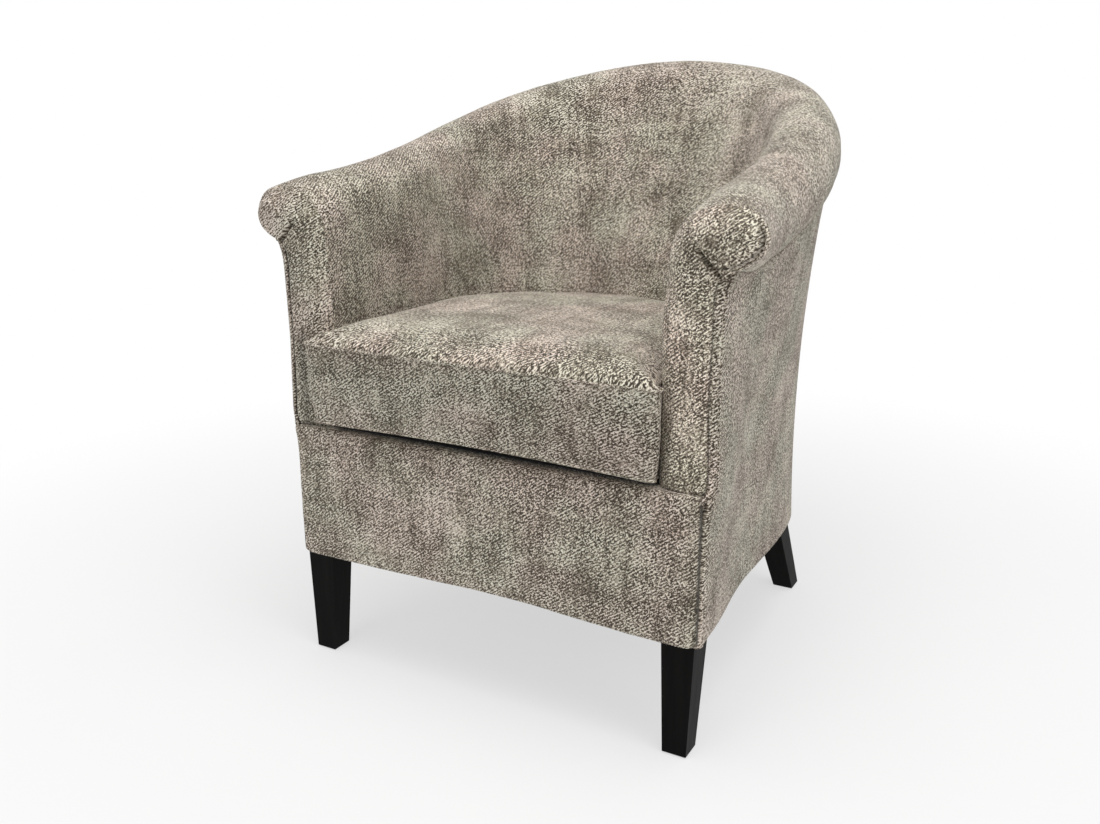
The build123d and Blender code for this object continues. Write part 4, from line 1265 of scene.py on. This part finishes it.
dress(tub_inside, "chair", "cover_fabric",
      "inside_cover", "inside_foam", "arm_front_pad_left", "arm_front_pad_right")
dress(outside, "chair", "cover_fabric", "outside_cover")
dress(border, "chair", "cover_fabric", "front_border_cover", "front_border_pad")
dress(cushion, "seat_cushion", "cover_fabric",
      "cushion_top_panel", "cushion_border", "cushion_bottom_panel", "cushion_core")
dress(seams, "seat_cushion", "cover_fabric")
dress(platform, "chair", "black_cloth", "platform_cloth")
dress(dust, "chair", "black_cloth", "dust_cover")

# %% [markdown]
# The studio is a white sweep: a floor and a world that look white to the camera and in reflections, a
# large soft lamp overhead, and weaker ones at the right and in front. The camera has the photograph's
# viewpoint, a little above the seat and to its right.

# %% Floor and world
scene = bpy.context.scene


def plainly_seen(nodes):
    """1 where the camera or a glossy surface looks straight at it."""
    camera_ray = nodes.node("ShaderNodeLightPath", out="Is Camera Ray")
    return camera_ray.math("MAXIMUM", nodes.node("ShaderNodeLightPath", out="Is Glossy Ray"))


bpy.ops.object.select_all(action="DESELECT")
bpy.ops.mesh.primitive_plane_add(size=14, location=(0, 0, 0))
floor = bpy.context.object
floor.name = "floor"
paper = Finish("paper", 0.9)
paper.put("Base Color", (0.86, 0.86, 0.86, 1))
glow = paper.node("ShaderNodeEmission", {}, {"Color": (1, 1, 1, 1), "Strength": 1.0})
away = paper.node("ShaderNodeVectorMath", {"operation": "LENGTH"}, [paper.spot()], out=1)
fade = paper.node("ShaderNodeMapRange", {"interpolation_type": "SMOOTHSTEP"},
                  {"Value": away, "From Min": 0.45, "From Max": 1.5, "To Min": 0.60, "To Max": 1.0})
mixed = paper.node("ShaderNodeMixShader", {},
                   [plainly_seen(paper) * fade, Wire(paper, paper.shader.outputs[0]), glow])
paper.feed(paper.tree.nodes["Material Output"].inputs["Surface"], mixed)
floor.data.materials.append(paper.material)

world = bpy.data.worlds.new("studio")
scene.world = world
world.use_nodes = True
sky = Nodes(world.node_tree)
ambient = sky.tree.nodes["Background"]
strength = sky.node("ShaderNodeMapRange", {}, {"Value": plainly_seen(sky), "To Min": 0.40, "To Max": 1.0})
sky.feed(ambient.inputs["Color"], (1, 1, 1, 1))
sky.feed(ambient.inputs["Strength"], strength)
print("white floor and world")

# %% Lamps


def softbox(name, where, aim, size, power):
    """A square lamp that looks at a point."""
    lamp = bpy.data.lights.new(name, "AREA")
    lamp.shape, lamp.size, lamp.energy = "SQUARE", size, power
    box = bpy.data.objects.new(name, lamp)
    scene.collection.objects.link(box)
    box.location = where
    towards = [a - b for a, b in zip(aim, where)]
    flat = (towards[0] ** 2 + towards[1] ** 2) ** 0.5
    box.rotation_euler = (pi / 2 + atan2(towards[2], flat), 0, atan2(towards[1], towards[0]) - pi / 2)
    print("lamp", name, power, "W")


softbox("overhead", (0.35, -0.5, 2.7), (0, -0.05, 0.4), 1.8, 42)
softbox("right", (2.3, -0.9, 1.5), (0, 0, 0.45), 1.4, 9)
softbox("front", (-0.6, -2.8, 1.5), (0, 0, 0.45), 1.6, 11)

# %% Camera
SENSOR, FOCAL_PIXELS, PHOTO_PIXELS = 36.0, 1050, 1100
camera = bpy.data.objects.new("camera", bpy.data.cameras.new("camera"))
scene.collection.objects.link(camera)
camera.data.sensor_width, camera.data.lens = SENSOR, FOCAL_PIXELS * SENSOR / PHOTO_PIXELS
camera.data.clip_start = 0.05
camera.location = (0.6564, -1.3168, 0.7210)
camera.rotation_euler = (pi / 2 - 0.2783, 0, 0.5108)
scene.camera = camera
scene.view_settings.view_transform = "Standard"
print("camera lens", round(camera.data.lens, 2), "mm")

# %% Updating the scene
bpy.context.view_layer.update()
